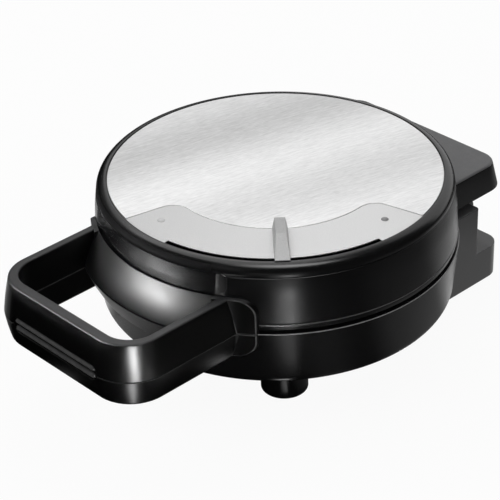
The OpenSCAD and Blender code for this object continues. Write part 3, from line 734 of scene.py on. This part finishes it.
def flange(shells, low, top, corner_at_top, back_r):
    """Side wings of the saddle flange on the body's wall, with rounded edges and outer corner; the rim of the
    rounding gets the painted edge highlight.
    """
    edge = 0.45
    half_w = 71.0
    corner = 10.0
    inner_x = 50.0
    insets = [0, 0.04, 0.15, 0.35, edge * 0.75, edge]
    heights = [low + e for e in insets]
    heights += spread(low + edge + 0.4, top - edge - 0.4, 22)
    heights += [top - e for e in reversed(insets)]

    def into_corner(z):
        return z - (top - corner) if corner_at_top else low + corner - z

    def outer_x(z):
        drop = into_corner(z)
        return half_w if drop <= 0 else half_w - corner + math.sqrt(max(0.0, corner**2 - drop**2))

    def outside(x, z):
        drop = into_corner(z)
        if drop > 0 and x > half_w - corner:
            return max(math.hypot(x - half_w + corner, drop) - corner, z - top, low - z)
        return max(x - half_w, z - top, low - z)

    for side in (-1, 1):
        front, back = [], []
        for z in heights:
            end_x = outer_x(z)
            columns = spread(inner_x, end_x - edge - 0.3, 14) + [end_x - e for e in reversed(insets)]
            rise = [min(edge, max(0.0, edge + outside(x, z))) for x in columns]
            radii = [FLANGE_R - edge + math.sqrt(edge**2 - q**2) for q in rise]
            front.append([(side * x, -math.sqrt(r * r - x * x), z) for x, r in zip(columns, radii)])
            deep = back_r(z) + 0.04
            back.append([(side * x, -math.sqrt(deep * deep - x * x), z) for x in columns])
        shells.slab(front, back, len(insets) - 1)


def upper_wall(z):
    """Outer wall of the handle's upper half, leaning out and slightly full."""
    t = (HANDLE_TOP - z) / (HANDLE_TOP - SPLIT_HIGH)
    return TOP_WIDTH + (FULL_WIDTH - TOP_WIDTH) * t + FULLNESS * math.sin(math.pi * t)


UPPER_LEVELS = [82, 79, 76, 73, 70.5, 69, 68.4, 68.1, 67.8, 67.5, 67.2, 66.6, 65.5, 64.5, 63.8]
upper_loop = rounded(
    [(0, HANDLE_TOP, 0.9), (TOP_WIDTH, HANDLE_TOP, 1.3)]
    + [(upper_wall(z), z, 0) for z in UPPER_LEVELS]
    + [(FULL_WIDTH, SPLIT_HIGH, 0.3), (0, SPLIT_HIGH, 0.3)]
)
upper_handle = Shells()
sweep(upper_handle, upper_loop, lambda z: skirt_r(z) + SEAT_GAP, ARM_ENDS)
apron(
    upper_handle,
    [
        (108.15, 84.6, 0),
        (108.7, 84.6, 0.25),
        (111.8, 79.3, 0),
        (114.6, 73.9, 0),
        (117.0, 68.5, 0),
        (118.8, SPLIT_HIGH + 0.8, 0.3),
        (109.25, SPLIT_HIGH + 0.8, 0),
        (109.25, 67.5, 0),
    ],
    paint=SOFT,
)
flange(upper_handle, SPLIT_HIGH, HANDLE_TOP, True, skirt_r)
grip_rib(upper_handle, 65.7)
piece(
    "upper_handle_half",
    upper_handle,
    "lid",
    ["upper_handle"],
    "casing_black",
    [handle_black, satin_black_with_painted_sheen, painted_edge_highlight, apron_black],
    # Faces of the top that look up get the satin black with painted sheen
    top=83.5,
)


def lower_wall(z):
    """Outer wall of the handle's lower half, drawing in towards the underside."""
    t = (SPLIT_LOW - z) / (SPLIT_LOW - HANDLE_LOW)
    return FULL_WIDTH - LOWER_TAPER * t + FULLNESS * math.sin(math.pi * t)


LOWER_LEVELS = [62.2, 61.2, 60.2, 59.4, 59.1, 58.8, 58.5, 58.2, 57.9, 57.4, 56, 54, 51]
lower_loop = rounded(
    [(0, SPLIT_LOW, 0.55), (FULL_WIDTH, SPLIT_LOW, 0.55)]
    + [(lower_wall(z), z, 0) for z in LOWER_LEVELS]
    + [(FULL_WIDTH - LOWER_TAPER, HANDLE_LOW, 2.4), (0, HANDLE_LOW, 1.2)]
)
lower_handle = Shells()
sweep(lower_handle, lower_loop, lambda z: base_r(z) + (SEAT_GAP if z > FLANGE_LOW + 0.5 else TOUCH), 0)
apron(
    lower_handle,
    [
        (110.06, SPLIT_LOW, 0),
        (118.8, SPLIT_LOW, 0.3),
        (116.2, 56, 0),
        (112.2, FLANGE_LOW, 1.4),
        (108.66, FLANGE_LOW, 0),
    ],
)
flange(lower_handle, FLANGE_LOW, SPLIT_LOW, False, base_r)
grip_rib(lower_handle, 60.9)
piece(
    "lower_handle_half",
    lower_handle,
    "base",
    ["lower_handle"],
    "casing_black",
    [handle_black, satin_black_with_painted_sheen, painted_edge_highlight],
    # The rounded top edge of the lower half at the split gets a painted highlight line
    edge=(62, 62.79, 0),
)

# Front feet: round posts with a rounded lower edge and a seat for the pad
FOOT_RADIUS = 73.5
FOOT_ANGLE = -41.6
foot_section = rounded(
    [
        (2.2, 26, 0),
        (14, 26, 0),
        (14, 1.5, 1.4),
        (10.2, 1.5, 0.2),
        (10.2, 4, 0),
        (4.2, 4, 0),
        (4.2, 9.5, 0),
        (2.2, 9.5, 0),
    ]
)
feet = Shells()
for foot_deg in (FOOT_ANGLE, 180 - FOOT_ANGLE):
    cx, cy, _ = polar(FOOT_RADIUS, foot_deg, 0)
    feet.rings(
        [[(*on_circle(cx, cy, r, a), z) for r, z in foot_section] for a in range(0, 360, 6)],
        around=True,
    )
piece("front_foot_posts", feet, "base", ["front_feet"], "casing_black", [casing_black])


# Rear stand and hinge tower, and the hinge cover above them
def rear_outline(half_w, reach, corner, front):
    """Closed plan behind the body: rounded rear corners, and front(x) gives y along the front edge."""
    right = [(half_w, front(half_w))] + [(half_w, y) for y in spread(front(half_w) + 1, reach - corner, 6)]
    right += [on_circle(half_w - corner, reach - corner, corner, a) for a in spread(0, 90, 13)[1:]]
    rear = [(x, reach) for x in spread(half_w - corner, corner - half_w, 9)[1:-1]]
    left = [(-x, y) for x, y in reversed(right)]
    along = [(x, front(x)) for x in spread(-half_w, half_w, 41)[1:-1]]
    return right + rear + left + along


def arc_front(r):
    return lambda x: math.sqrt(max(1.0, r * r - x * x))


STAND_HALF_W = 64.8
STAND_REACH = 135.5
STAND_CORNER = 11.0
STAND_FRONT = 84.0
TOWER_REACH = 112.0
TOWER_CORNER = 1.5
LEDGE_Z = 24.4
NOTCH_Z = 47.0
TOWER_Z = 58.0
STAND_LOW = 1.5
STAND_ROUND = 1.2
LEDGE_ROUND = 1.0
BASE_UNDERSIDE = 26.0
HORN_ROUND = 0.8
THIN_ROUND = 0.3


def flat_front(x):
    return STAND_FRONT


def plan_rings(rows):
    """Rings of rows that each give the half width, reach, corner and front of a plan, and its height."""
    return [[(x, y, z) for x, y in rear_outline(w, reach, corner, front)] for w, reach, corner, front, z in rows]


stand = Shells()
rows = []
for turn in spread(0, 90, 6):
    inset = STAND_ROUND - STAND_ROUND * sind(turn)
    z = STAND_LOW + STAND_ROUND - STAND_ROUND * cosd(turn)
    rows.append((STAND_HALF_W - inset, STAND_REACH - inset, STAND_CORNER - inset, flat_front, z))
for turn in spread(0, 90, 6):
    inset = LEDGE_ROUND - LEDGE_ROUND * cosd(turn)
    z = LEDGE_Z - LEDGE_ROUND + LEDGE_ROUND * sind(turn)
    rows.append((STAND_HALF_W, STAND_REACH - inset, STAND_CORNER - inset, flat_front, z))
for z in (LEDGE_Z, BASE_UNDERSIDE - TOUCH):
    rows.append((STAND_HALF_W, TOWER_REACH, TOWER_CORNER, flat_front, z))
for z in (BASE_UNDERSIDE + TOUCH, 26.6, 27.6, 29, 31, 33, 40, NOTCH_Z):
    rows.append((STAND_HALF_W, TOWER_REACH, TOWER_CORNER, arc_front(base_r(z) + TOUCH), z))
stand.rings(plan_rings(rows))


def horn(x0, x1, rear_corner):
    """One upright of the tower beside a hinge arm, with a rounded top."""
    levels = [(0.0, NOTCH_Z)]
    for a in spread(0, 90, 5):
        levels.append((HORN_ROUND - HORN_ROUND * cosd(a), TOWER_Z - HORN_ROUND + HORN_ROUND * sind(a)))
    plans = []
    for inset, z in levels:
        front = arc_front(base_r(z) + TOUCH + inset)
        rear = TOWER_REACH - inset
        left, right = x0 + inset, x1 - inset
        plan = [(x, front(x)) for x in spread(left, right, 9)]
        plan += [on_circle(right - rear_corner, rear - rear_corner, rear_corner, t) for t in spread(0, 90, 5)]
        plan += [on_circle(left + THIN_ROUND, rear - THIN_ROUND, THIN_ROUND, t) for t in spread(90, 180, 5)]
        plans.append([(x, y, z) for x, y in plan])
    for side in (-1, 1):
        stand.rings([[(side * x, y, z) for x, y, z in plan] for plan in plans])


def knuckle(shells, x0, x1, r):
    """Round ear about the hinge axis with softened rims."""
    soft = 0.5
    rim = [(0.0, soft), (soft * 0.3, soft * 0.3), (soft, 0.0)]
    profile = [(x0 + a, r - b) for a, b in rim] + [(x1 - a, r - b) for a, b in reversed(rim)]
    for side in (-1, 1):
        shells.rings(
            [[(side * x, *on_circle(HINGE_Y, HINGE_Z, q, a)) for a in range(0, 360, 9)] for x, q in profile]
        )


HORN_IN, HORN_GAP_IN, HORN_GAP_OUT = 36.0, 45.6, 52.4
EAR_R = 6.0
EAR_WIDTH = 4.5
horn(HORN_IN, HORN_GAP_IN, THIN_ROUND)
horn(HORN_GAP_OUT, STAND_HALF_W, TOWER_CORNER)
knuckle(stand, HORN_GAP_IN - EAR_WIDTH, HORN_GAP_IN, EAR_R)
knuckle(stand, HORN_GAP_OUT, HORN_GAP_OUT + EAR_WIDTH, EAR_R)
piece(
    "rear_stand_tower",
    stand,
    "base",
    ["rear_stand", "hinge_tower"],
    "casing_black",
    [casing_black, grained_black_with_painted_sheen],
    # Faces that look up get the grained black with painted sheen
    top=20,
)

COVER_Z = 82.6
COVER_LOW = 65.0
COVER_WALL = 2.5
COVER_ROUND = 1.6
COVER_EDGE = 0.4
COVER_SEAT = 0.06
COVER_INNER_R = 112.5
COVER_HALF_W, COVER_REACH, COVER_CORNER = 62.1, 133.9, 12.5
COVER_LEAN, COVER_REAR_LEAN = 2.7, 4.6


def cover_size(z, inset=0.0):
    """Half width, reach and corner radius of the leaning cover at a height."""
    down = (COVER_Z - z) / (COVER_Z - COVER_LOW)
    side, rear = COVER_LEAN * down - inset, COVER_REAR_LEAN * down - inset
    return COVER_HALF_W + side, COVER_REACH + rear, COVER_CORNER + side


cover = Shells()
rows = []
for turn in spread(90, 0, 6):
    z = COVER_Z - COVER_ROUND + COVER_ROUND * sind(turn)
    inset = COVER_ROUND - COVER_ROUND * cosd(turn)
    rows.append((*cover_size(z, inset), arc_front(skirt_r(z) + COVER_SEAT), z))
for z in (76, 71, 66):
    rows.append((*cover_size(z), arc_front(skirt_r(z) + COVER_SEAT), z))
above = COVER_LOW + COVER_EDGE
ceiling = COVER_Z - COVER_WALL
rows.append((*cover_size(above), arc_front(SKIRT_LOW_R + COVER_SEAT), above))
rows.append((*cover_size(COVER_LOW, COVER_EDGE), arc_front(SKIRT_LOW_R + COVER_EDGE), COVER_LOW))
rows.append((*cover_size(COVER_LOW, COVER_WALL - COVER_EDGE), arc_front(COVER_INNER_R - COVER_EDGE), COVER_LOW))
rows.append((*cover_size(above, COVER_WALL), arc_front(COVER_INNER_R), above))
rows.append((*cover_size(ceiling, COVER_WALL), arc_front(COVER_INNER_R), ceiling))
cover.rings(plan_rings(rows))

# Hinge arms with a bore for the pin
ARM_TURNS = range(-180, 180, 9)
ARM_TOP = COVER_Z - COVER_WALL + 0.4
ARM_IN, ARM_OUT = 46.0, 52.0
ARM_EDGE = 0.4
PIN_BORE_R = 2.55


def arm_outline(inset):
    """Rounded below, straight up to the cover's ceiling, as points at even turns about the hinge."""
    out = []
    r = EAR_R - inset
    for t in ARM_TURNS:
        c, s = cosd(t), sind(t)
        reach = r if s <= 0 else min(r / max(abs(c), 1e-6), (ARM_TOP - HINGE_Z) / s)
        out.append((HINGE_Y + reach * c, HINGE_Z + reach * s))
    return out


pin_bore = [on_circle(HINGE_Y, HINGE_Z, PIN_BORE_R, t) for t in ARM_TURNS]
arm_loops = (
    (ARM_IN, pin_bore),
    (ARM_IN, arm_outline(ARM_EDGE)),
    (ARM_IN + ARM_EDGE, arm_outline(0.0)),
    (ARM_OUT - ARM_EDGE, arm_outline(0.0)),
    (ARM_OUT, arm_outline(ARM_EDGE)),
    (ARM_OUT, pin_bore),
)
for side in (-1, 1):
    cover.rings([[(side * x, y, z) for y, z in plan] for x, plan in arm_loops], around=True)
# Faces of the top that look up get the grained black with painted sheen
piece("hinge_cover_shell", cover, "lid", ["hinge_cover"], "casing_black", [casing_black, grained_black_with_painted_sheen], top=81)


# Brushed disc, crescent scale plate and lenses
SCALE_START, SCALE_END = SCALE_ANGLE - SCALE_HALF, SCALE_ANGLE + SCALE_HALF
CORNER_PARTS = 12


def crescent_edge(grow):
    """Inner edge of the crescent from one outer end to the other, with rounded inner corners."""
    corner_r = SCALE_R - grow + SCALE_CORNER - SCALE_TUCK
    corners = []
    for end, side in ((SCALE_START, 1), (SCALE_END, -1)):
        across = Vector(polar(1, end + 90 * side, 0)) * SCALE_CORNER
        hub = Vector(polar(1, end, 0)) * corner_r + across
        start = math.degrees(math.atan2(-across.y, -across.x))
        stop = math.degrees(math.atan2(-hub.y, -hub.x))
        turn = (stop - start + 180) % 360 - 180
        turns = spread(start, start + turn, CORNER_PARTS + 1)
        corners.append([on_circle(hub.x, hub.y, SCALE_CORNER, a) for a in turns])
    first, last = corners
    from_a, to_a = (math.degrees(math.atan2(y, x)) for x, y in (first[-1], last[-1]))
    radius = math.hypot(*first[-1])
    middle = [polar(radius, a, 0)[:2] for a in spread(from_a, to_a, 60)[1:-1]]
    return first + middle + last[::-1]


def disc_outline(inset):
    """Disc with the crescent cut out of it."""
    inner = crescent_edge(0.03 + inset)
    r = DISC_R - DISC_GAP - inset
    shift = math.degrees((0.1 + inset) / r)
    far = [polar(r, a, 0)[:2] for a in spread(SCALE_END + shift, SCALE_START + 360 - shift, 150)]
    return far + inner


def plate_outline(inset):
    """Crescent with the slider's slot along its outer edge."""
    r_out, r_slot = DISC_R - 0.2 - inset, SLOT_R - inset
    s0, s1 = SCALE_ANGLE - SLOT_HALF, SCALE_ANGLE + SLOT_HALF
    shift = math.degrees((0.05 + inset) / r_out)
    pts = crescent_edge(-inset)[::-1]
    pts += [polar(r_out, a, 0)[:2] for a in spread(SCALE_START + shift, s0 - shift, 16)]
    pts += [polar(r_slot, a, 0)[:2] for a in spread(s0 - shift, s1 + shift, 70)]
    pts += [polar(r_out, a, 0)[:2] for a in spread(s1 + shift, SCALE_END - shift, 16)]
    return pts


def sheet(outline, low, top, edge):
    """Flat sheet with a softened upper edge."""
    shells = Shells()
    levels = [(0, low), (0, top - edge), (edge * 0.3, top - edge * 0.3), (edge, top)]
    shells.rings([[(x, y, z) for x, y in outline(inset)] for inset, z in levels])
    return shells


disc = sheet(disc_outline, DECK_Z, DISC_Z, 0.2)
piece("brushed_disc", disc, "lid", ["lid_disc"], "disc_steel", [disc_steel], sharp=50)
crescent = sheet(plate_outline, DECK_Z, DISC_Z - 0.3, 0.12)
piece("crescent_scale", crescent, "lid", ["scale_plate"], "scale_silver", [scale_silver], sharp=50)

LENS_RADIUS = 84.4
LENS_PROFILE = (
    (2.2, 101.7),
    (2.2, 104.75),
    (2.05, 104.95),
    (1.75, 105.15),
    (1.3, 105.32),
    (0.7, 105.42),
    (0.2, 105.45),
)


def lens(name, deg, node, slot, mat):
    """Small round lens with a domed top."""
    shells = Shells()
    cx, cy, _ = polar(LENS_RADIUS, deg, 0)
    shells.rings([[(*on_circle(cx, cy, r, a), z) for a in range(0, 360, 12)] for r, z in LENS_PROFILE])
    piece(name, shells, "lid", [node], slot, [mat])


lens("power_lamp_lens", -94.6, "power_lens", "lens_clear", lens_clear)
lens("ready_lamp_lens", 3.1, "ready_lens", "lens_smoke", lens_smoke)


# Slider knob: wedge pointer with softened edges, and its stem
KNOB_IN, KNOB_OUT = 66.0, 101.0
KNOB_TOP_IN, KNOB_TOP_OUT = 66.6, 84.0
KNOB_HALF_W, KNOB_TOP_HALF_W = 4.4, 3.1
KNOB_LOW, KNOB_TOP = DISC_Z + 0.4, DISC_Z + 8.0
KNOB_EDGE = 0.6
KNOB_BEVEL = 0.55
STEM_CENTRE = (98.5, 0.0, 102.1)
STEM_SIZE = (2.4, 5.0, 7.0)


def knob_mesh():
    """Hull of the wedge with its edges bevelled, and a block for the stem, turned to where the knob rests."""
    bm = bmesh.new()
    levels = (KNOB_LOW, KNOB_LOW + KNOB_EDGE)
    points = [(r, s * KNOB_HALF_W, z) for r in (KNOB_IN, KNOB_OUT) for s in (-1, 1) for z in levels]
    points += [(r, s * KNOB_TOP_HALF_W, KNOB_TOP) for r in (KNOB_TOP_IN, KNOB_TOP_OUT) for s in (-1, 1)]
    verts = [bm.verts.new(Vector(p) * MM) for p in points]
    bmesh.ops.convex_hull(bm, input=verts)
    bmesh.ops.dissolve_limit(bm, angle_limit=math.radians(2), verts=bm.verts, edges=bm.edges)
    edges = [e for e in bm.edges if e.calc_face_angle(0) > math.radians(8)]
    bmesh.ops.bevel(
        bm, geom=edges, offset=KNOB_BEVEL * MM, segments=4, profile=0.5, affect="EDGES", clamp_overlap=True
    )
    stem = bmesh.ops.create_cube(bm, size=1.0)
    for v in stem["verts"]:
        v.co = Vector([c + size * part for c, size, part in zip(STEM_CENTRE, STEM_SIZE, v.co)]) * MM
    bmesh.ops.recalc_face_normals(bm, faces=bm.faces)
    turn = Matrix.Translation((0, AXIS_Y * MM, 0)) @ Matrix.Rotation(math.radians(KNOB_ANGLE), 4, "Z")
    bmesh.ops.transform(bm, matrix=turn, verts=bm.verts)
    mesh = bpy.data.meshes.new("slider_pointer")
    bm.to_mesh(mesh)
    bm.free()
    return mesh


finish_piece("slider_pointer", knob_mesh(), "slider", ["slider_knob"], "knob_silver", [knob_silver], sharp=40)

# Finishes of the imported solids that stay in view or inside
FINISHES = {
    "bottom_cover": inner_black,
    "cord_gland": inner_black,
    "foot_pads": pad_rubber,
    "lower_plate": plate_coat,
    "upper_plate": plate_coat,
    "lower_element": element_steel,
    "upper_element": element_steel,
    "lower_reflector": sheet_steel,
    "upper_reflector": sheet_steel,
    "thermostat_bracket": sheet_steel,
    "slider_lever": sheet_steel,
    "thermostat": terminal_plastic,
    "terminal_block": terminal_plastic,
    "thermal_fuse": terminal_plastic,
    "indicator_lamps": lamp_glass,
    "thermostat_spindle": fastener_steel,
    "hinge_pins": fastener_steel,
}
for node_name, obj in NODES.items():
    mat = FINISHES.get(node_name, fastener_steel if node_name.endswith("screws") else None)
    if mat:
        obj.data.materials.clear()
        obj.data.materials.append(mat)

# World, floor, lamp, studio cards and camera
scene = bpy.context.scene
scene.view_settings.view_transform = "Standard"


def seen_straight(tree):
    """1 for rays from the camera and for reflections and refractions of the background, else 0."""
    path = tree.nodes.new("ShaderNodeLightPath")
    last = path.outputs["Is Camera Ray"]
    for name in ("Is Glossy Ray", "Is Transmission Ray"):
        most = tree.nodes.new("ShaderNodeMath")
        most.operation = "MAXIMUM"
        tree.links.new(last, most.inputs[0])
        tree.links.new(path.outputs[name], most.inputs[1])
        last = most.outputs[0]
    return last


WORLD_FILL = 0.5
sky = bpy.data.worlds.new("studio")
sky.use_nodes = True
scene.world = sky
background = sky.node_tree.nodes["Background"]
background.inputs["Color"].default_value = (1, 1, 1, 1)
level = sky.node_tree.nodes.new("ShaderNodeMath")
level.operation = "MULTIPLY_ADD"
level.inputs[1].default_value = 1 - WORLD_FILL
level.inputs[2].default_value = WORLD_FILL
sky.node_tree.links.new(seen_straight(sky.node_tree), level.inputs[0])
sky.node_tree.links.new(level.outputs[0], background.inputs["Strength"])

FLOOR_WHITE = 0.94
FLOOR_HALF = 4
floor_mesh = bpy.data.meshes.new("floor")
floor_corners = [(x * FLOOR_HALF, y * FLOOR_HALF, 0) for x, y in ((-1, -1), (1, -1), (1, 1), (-1, 1))]
floor_mesh.from_pydata(floor_corners, [], [(0, 1, 2, 3)])
floor = bpy.data.objects.new("floor", floor_mesh)
scene.collection.objects.link(floor)
floor_paper = bpy.data.materials.new("floor_paper")
floor_paper.use_nodes = True
tree = floor_paper.node_tree
tree.nodes.remove(tree.nodes["Principled BSDF"])
paper = tree.nodes.new("ShaderNodeBsdfDiffuse")
paper.inputs["Color"].default_value = (0.8, 0.8, 0.8, 1)
glow = tree.nodes.new("ShaderNodeEmission")
blend = tree.nodes.new("ShaderNodeMixShader")
part = tree.nodes.new("ShaderNodeMath")
part.operation = "MULTIPLY"
part.inputs[1].default_value = FLOOR_WHITE
tree.links.new(seen_straight(tree), part.inputs[0])
tree.links.new(part.outputs[0], blend.inputs["Fac"])
tree.links.new(paper.outputs["BSDF"], blend.inputs[1])
tree.links.new(glow.outputs["Emission"], blend.inputs[2])
tree.links.new(blend.outputs["Shader"], tree.nodes["Material Output"].inputs["Surface"])
floor_mesh.materials.append(floor_paper)


def softbox(name, place, target, size, power):
    lamp = bpy.data.lights.new(name, "AREA")
    lamp.size = size
    lamp.energy = power
    obj = bpy.data.objects.new(name, lamp)
    obj.location = place
    obj.rotation_euler = (Vector(target) - Vector(place)).to_track_quat("-Z", "Y").to_euler()
    obj.visible_camera = False
    scene.collection.objects.link(obj)


softbox("key_softbox", (-0.45, 0.1, 1.3), (0, 0, 0.06), 1.2, 7.5)

CARD_COLUMNS = 24


def studio_card(name, centre, azimuth, half, low, high, glow=0.0):
    """Curved card round a point that only reflections see; its glow fades to the sides.

    low and high give the radius and height of its two edges, azimuth and half the turns that it covers."""
    mesh = bpy.data.meshes.new(name)
    shares = spread(0, 1, CARD_COLUMNS + 1)
    turns = [azimuth + half * (2 * t - 1) for t in shares]
    rows = [[(*on_circle(*centre, r, a), z) for a in turns] for r, z in (low, high)]
    count = CARD_COLUMNS + 1
    quads = [(i, i + 1, count + i + 1, count + i) for i in range(CARD_COLUMNS)]
    mesh.from_pydata([world(p) for p in rows[0] + rows[1]], [], quads)
    across = mesh.uv_layers.new(name="across")
    for loop, uv in zip(mesh.loops, across.data):
        uv.uv = (shares[loop.vertex_index % count], loop.vertex_index // count)
    obj = bpy.data.objects.new(name, mesh)
    scene.collection.objects.link(obj)
    paint = bpy.data.materials.new(name)
    paint.use_nodes = True
    paint.cycles.emission_sampling = "NONE"
    tree = paint.node_tree
    tree.nodes.remove(tree.nodes["Principled BSDF"])
    shine = tree.nodes.new("ShaderNodeEmission")
    shine.name = "Shine"
    shine.inputs["Color"].default_value = (0, 0, 0, 1)
    shine.inputs["Strength"].default_value = glow
    tree.links.new(shine.outputs["Emission"], tree.nodes["Material Output"].inputs["Surface"])
    if glow:
        where = tree.nodes.new("ShaderNodeTexCoord")
        fade = tree.nodes.new("ShaderNodeValToRGB")
        fade.color_ramp.interpolation = "EASE"
        fade.color_ramp.elements[1].color = (0, 0, 0, 1)
        fade.color_ramp.elements.new(0.5).color = (1, 1, 1, 1)
        tree.links.new(where.outputs["UV"], fade.inputs["Fac"])
        tree.links.new(fade.outputs["Color"], shine.inputs["Color"])
    mesh.materials.append(paint)
    obj.visible_camera = False
    obj.visible_diffuse = False
    obj.visible_shadow = False
    obj.visible_transmission = False
    return tree


# Soft light strips that draw the highlights of the glossy plastic
AXIS = (0, 0)
CORNER = (54, -165)
APRON = (0, -110)
studio_card("corner_strip", CORNER, -36, 10, (190, 0.8), (620, 0.8), 80.0)
studio_card("corner_low_strip", CORNER, -42, 12, (15, 0.8), (65, 0.8), 13.0)
studio_card("skirt_strip", AXIS, -40, 4.5, (205, 1.2), (470, 1.2), 6.5)
studio_card("base_strip", AXIS, -41, 4, (145, 1.2), (200, 1.2), 1.6)
studio_card("foot_strip", AXIS, -43, 3, (95, 1.2), (110, 1.2), 2.0)
studio_card("apron_strip", APRON, -119, 14, (500, 124), (500, 310), 78.0)
studio_card("scoop_strip", APRON, -129, 15, (500, 40), (500, 121), 30.0)
studio_card("apron_low_strip", APRON, -170, 55, (12, 0.8), (78, 0.8), 0.45)
studio_card("bead_strip", AXIS, -43, 46, (600, 900), (130, 1050), 7.5)

# Dim or dark flags that keep a strip out of the faces that it should not show in; a far centre makes them flat
FLAT_R = 10000
studio_card("bead_flag", AXIS, -120, 60, (215, 122), (215, 205), 0.25)
studio_card("skirt_flag", AXIS, -51, 5, (240, 1.5), (240, 75))
studio_card("skirt_top_flag", AXIS, -46, 13, (205, 55), (205, 99), 0.4)
studio_card("front_flag", (-18, FLAT_R - 190), -90, 0.41, (FLAT_R, 1), (FLAT_R, 89))
studio_card("ear_flag", (102, FLAT_R - 150), -90, 0.17, (FLAT_R, 1), (FLAT_R, 45))

# Dark studio walls in front, overhead and to the left keep the black plastic black
studio_card("front_wall", AXIS, -43, 105, (1600, 0), (900, 1400))
studio_card("front_ceiling", AXIS, -43, 180, (900, 1400), (20, 1500))
studio_card("left_wall", AXIS, 175, 40, (1500, 0), (1500, 560))

# Table as the reflections see it: dark in front, paler to the right, fading with distance
tree = studio_card("table", AXIS, 0, 180, (1, 0.4), (1590, 0.4))
where = tree.nodes.new("ShaderNodeTexCoord")
split = tree.nodes.new("ShaderNodeSeparateXYZ")
turn = tree.nodes.new("ShaderNodeMath")
turn.operation = "ARCTAN2"
tree.links.new(where.outputs["Object"], split.inputs["Vector"])


def table_tone(value, span, stops):
    """Grey ramp over a value between the two ends of span, with stops given in the value's own unit."""
    share = tree.nodes.new("ShaderNodeMapRange")
    share.inputs["From Min"].default_value, share.inputs["From Max"].default_value = span
    ramp = tree.nodes.new("ShaderNodeValToRGB")
    ramp.color_ramp.elements.remove(ramp.color_ramp.elements[1])
    for at, tone in stops:
        stop = ramp.color_ramp.elements.new((at - span[0]) / (span[1] - span[0]))
        stop.color = (tone, tone, tone, 1)
    tree.links.new(value, share.inputs["Value"])
    tree.links.new(share.outputs["Result"], ramp.inputs["Fac"])
    return ramp.outputs["Color"]


north = tree.nodes.new("ShaderNodeMath")
north.operation = "SUBTRACT"
north.inputs[1].default_value = AXIS_Y * MM
tree.links.new(split.outputs["Y"], north.inputs[0])
tree.links.new(north.outputs[0], turn.inputs[0])
tree.links.new(split.outputs["X"], turn.inputs[1])
degrees = tree.nodes.new("ShaderNodeMath")
degrees.operation = "DEGREES"
tree.links.new(turn.outputs[0], degrees.inputs[0])
away = tree.nodes.new("ShaderNodeVectorMath")
away.operation = "DISTANCE"
away.inputs[1].default_value = (0, AXIS_Y * MM, 0)
tree.links.new(where.outputs["Object"], away.inputs[0])
AZIMUTH_TONES = (
    (-180, 0.9), (-150, 1.2), (-122, 0), (-34, 0), (-27, 0.09), (-20, 0.09), (-12, 0.02), (-4, 0.02),
    (8, 0.2), (22, 0.24), (40, 0.24), (52, 0.75), (75, 0.75), (100, 0.2), (130, 0),
)
RADIUS_TONES = ((0, 1), (0.18, 1), (0.25, 0.4), (0.345, 0.4), (0.37, 0.05), (0.6, 0))
tree.links.new(table_tone(degrees.outputs[0], (-180, 180), AZIMUTH_TONES), tree.nodes["Shine"].inputs["Color"])
tree.links.new(table_tone(away.outputs["Value"], (0, 1), RADIUS_TONES), tree.nodes["Shine"].inputs["Strength"])

# Camera fitted to the photograph
CAMERA_AT = (0.71229, -0.66393, 0.66504)
SENSOR_WIDTH = 36
FOCAL_LENGTH = 137.63
TURN, TILT, ROLL = (math.radians(v) for v in (47.24, 31.96, -1.833))
behind = Vector((math.sin(TURN) * math.cos(TILT), -math.cos(TURN) * math.cos(TILT), math.sin(TILT)))
level_right = Vector((math.cos(TURN), math.sin(TURN), 0))
level_up = behind.cross(level_right)
right = math.cos(ROLL) * level_right + math.sin(ROLL) * level_up
up = math.cos(ROLL) * level_up - math.sin(ROLL) * level_right
lens_data = bpy.data.cameras.new("photo_camera")
lens_data.sensor_width = SENSOR_WIDTH
lens_data.lens = FOCAL_LENGTH
lens_data.clip_start = 0.01
camera = bpy.data.objects.new("photo_camera", lens_data)
camera.matrix_world = Matrix(
    [
        (right.x, up.x, behind.x, CAMERA_AT[0]),
        (right.y, up.y, behind.y, CAMERA_AT[1]),
        (right.z, up.z, behind.z, CAMERA_AT[2]),
        (0, 0, 0, 1),
    ]
)
scene.collection.objects.link(camera)
scene.camera = camera
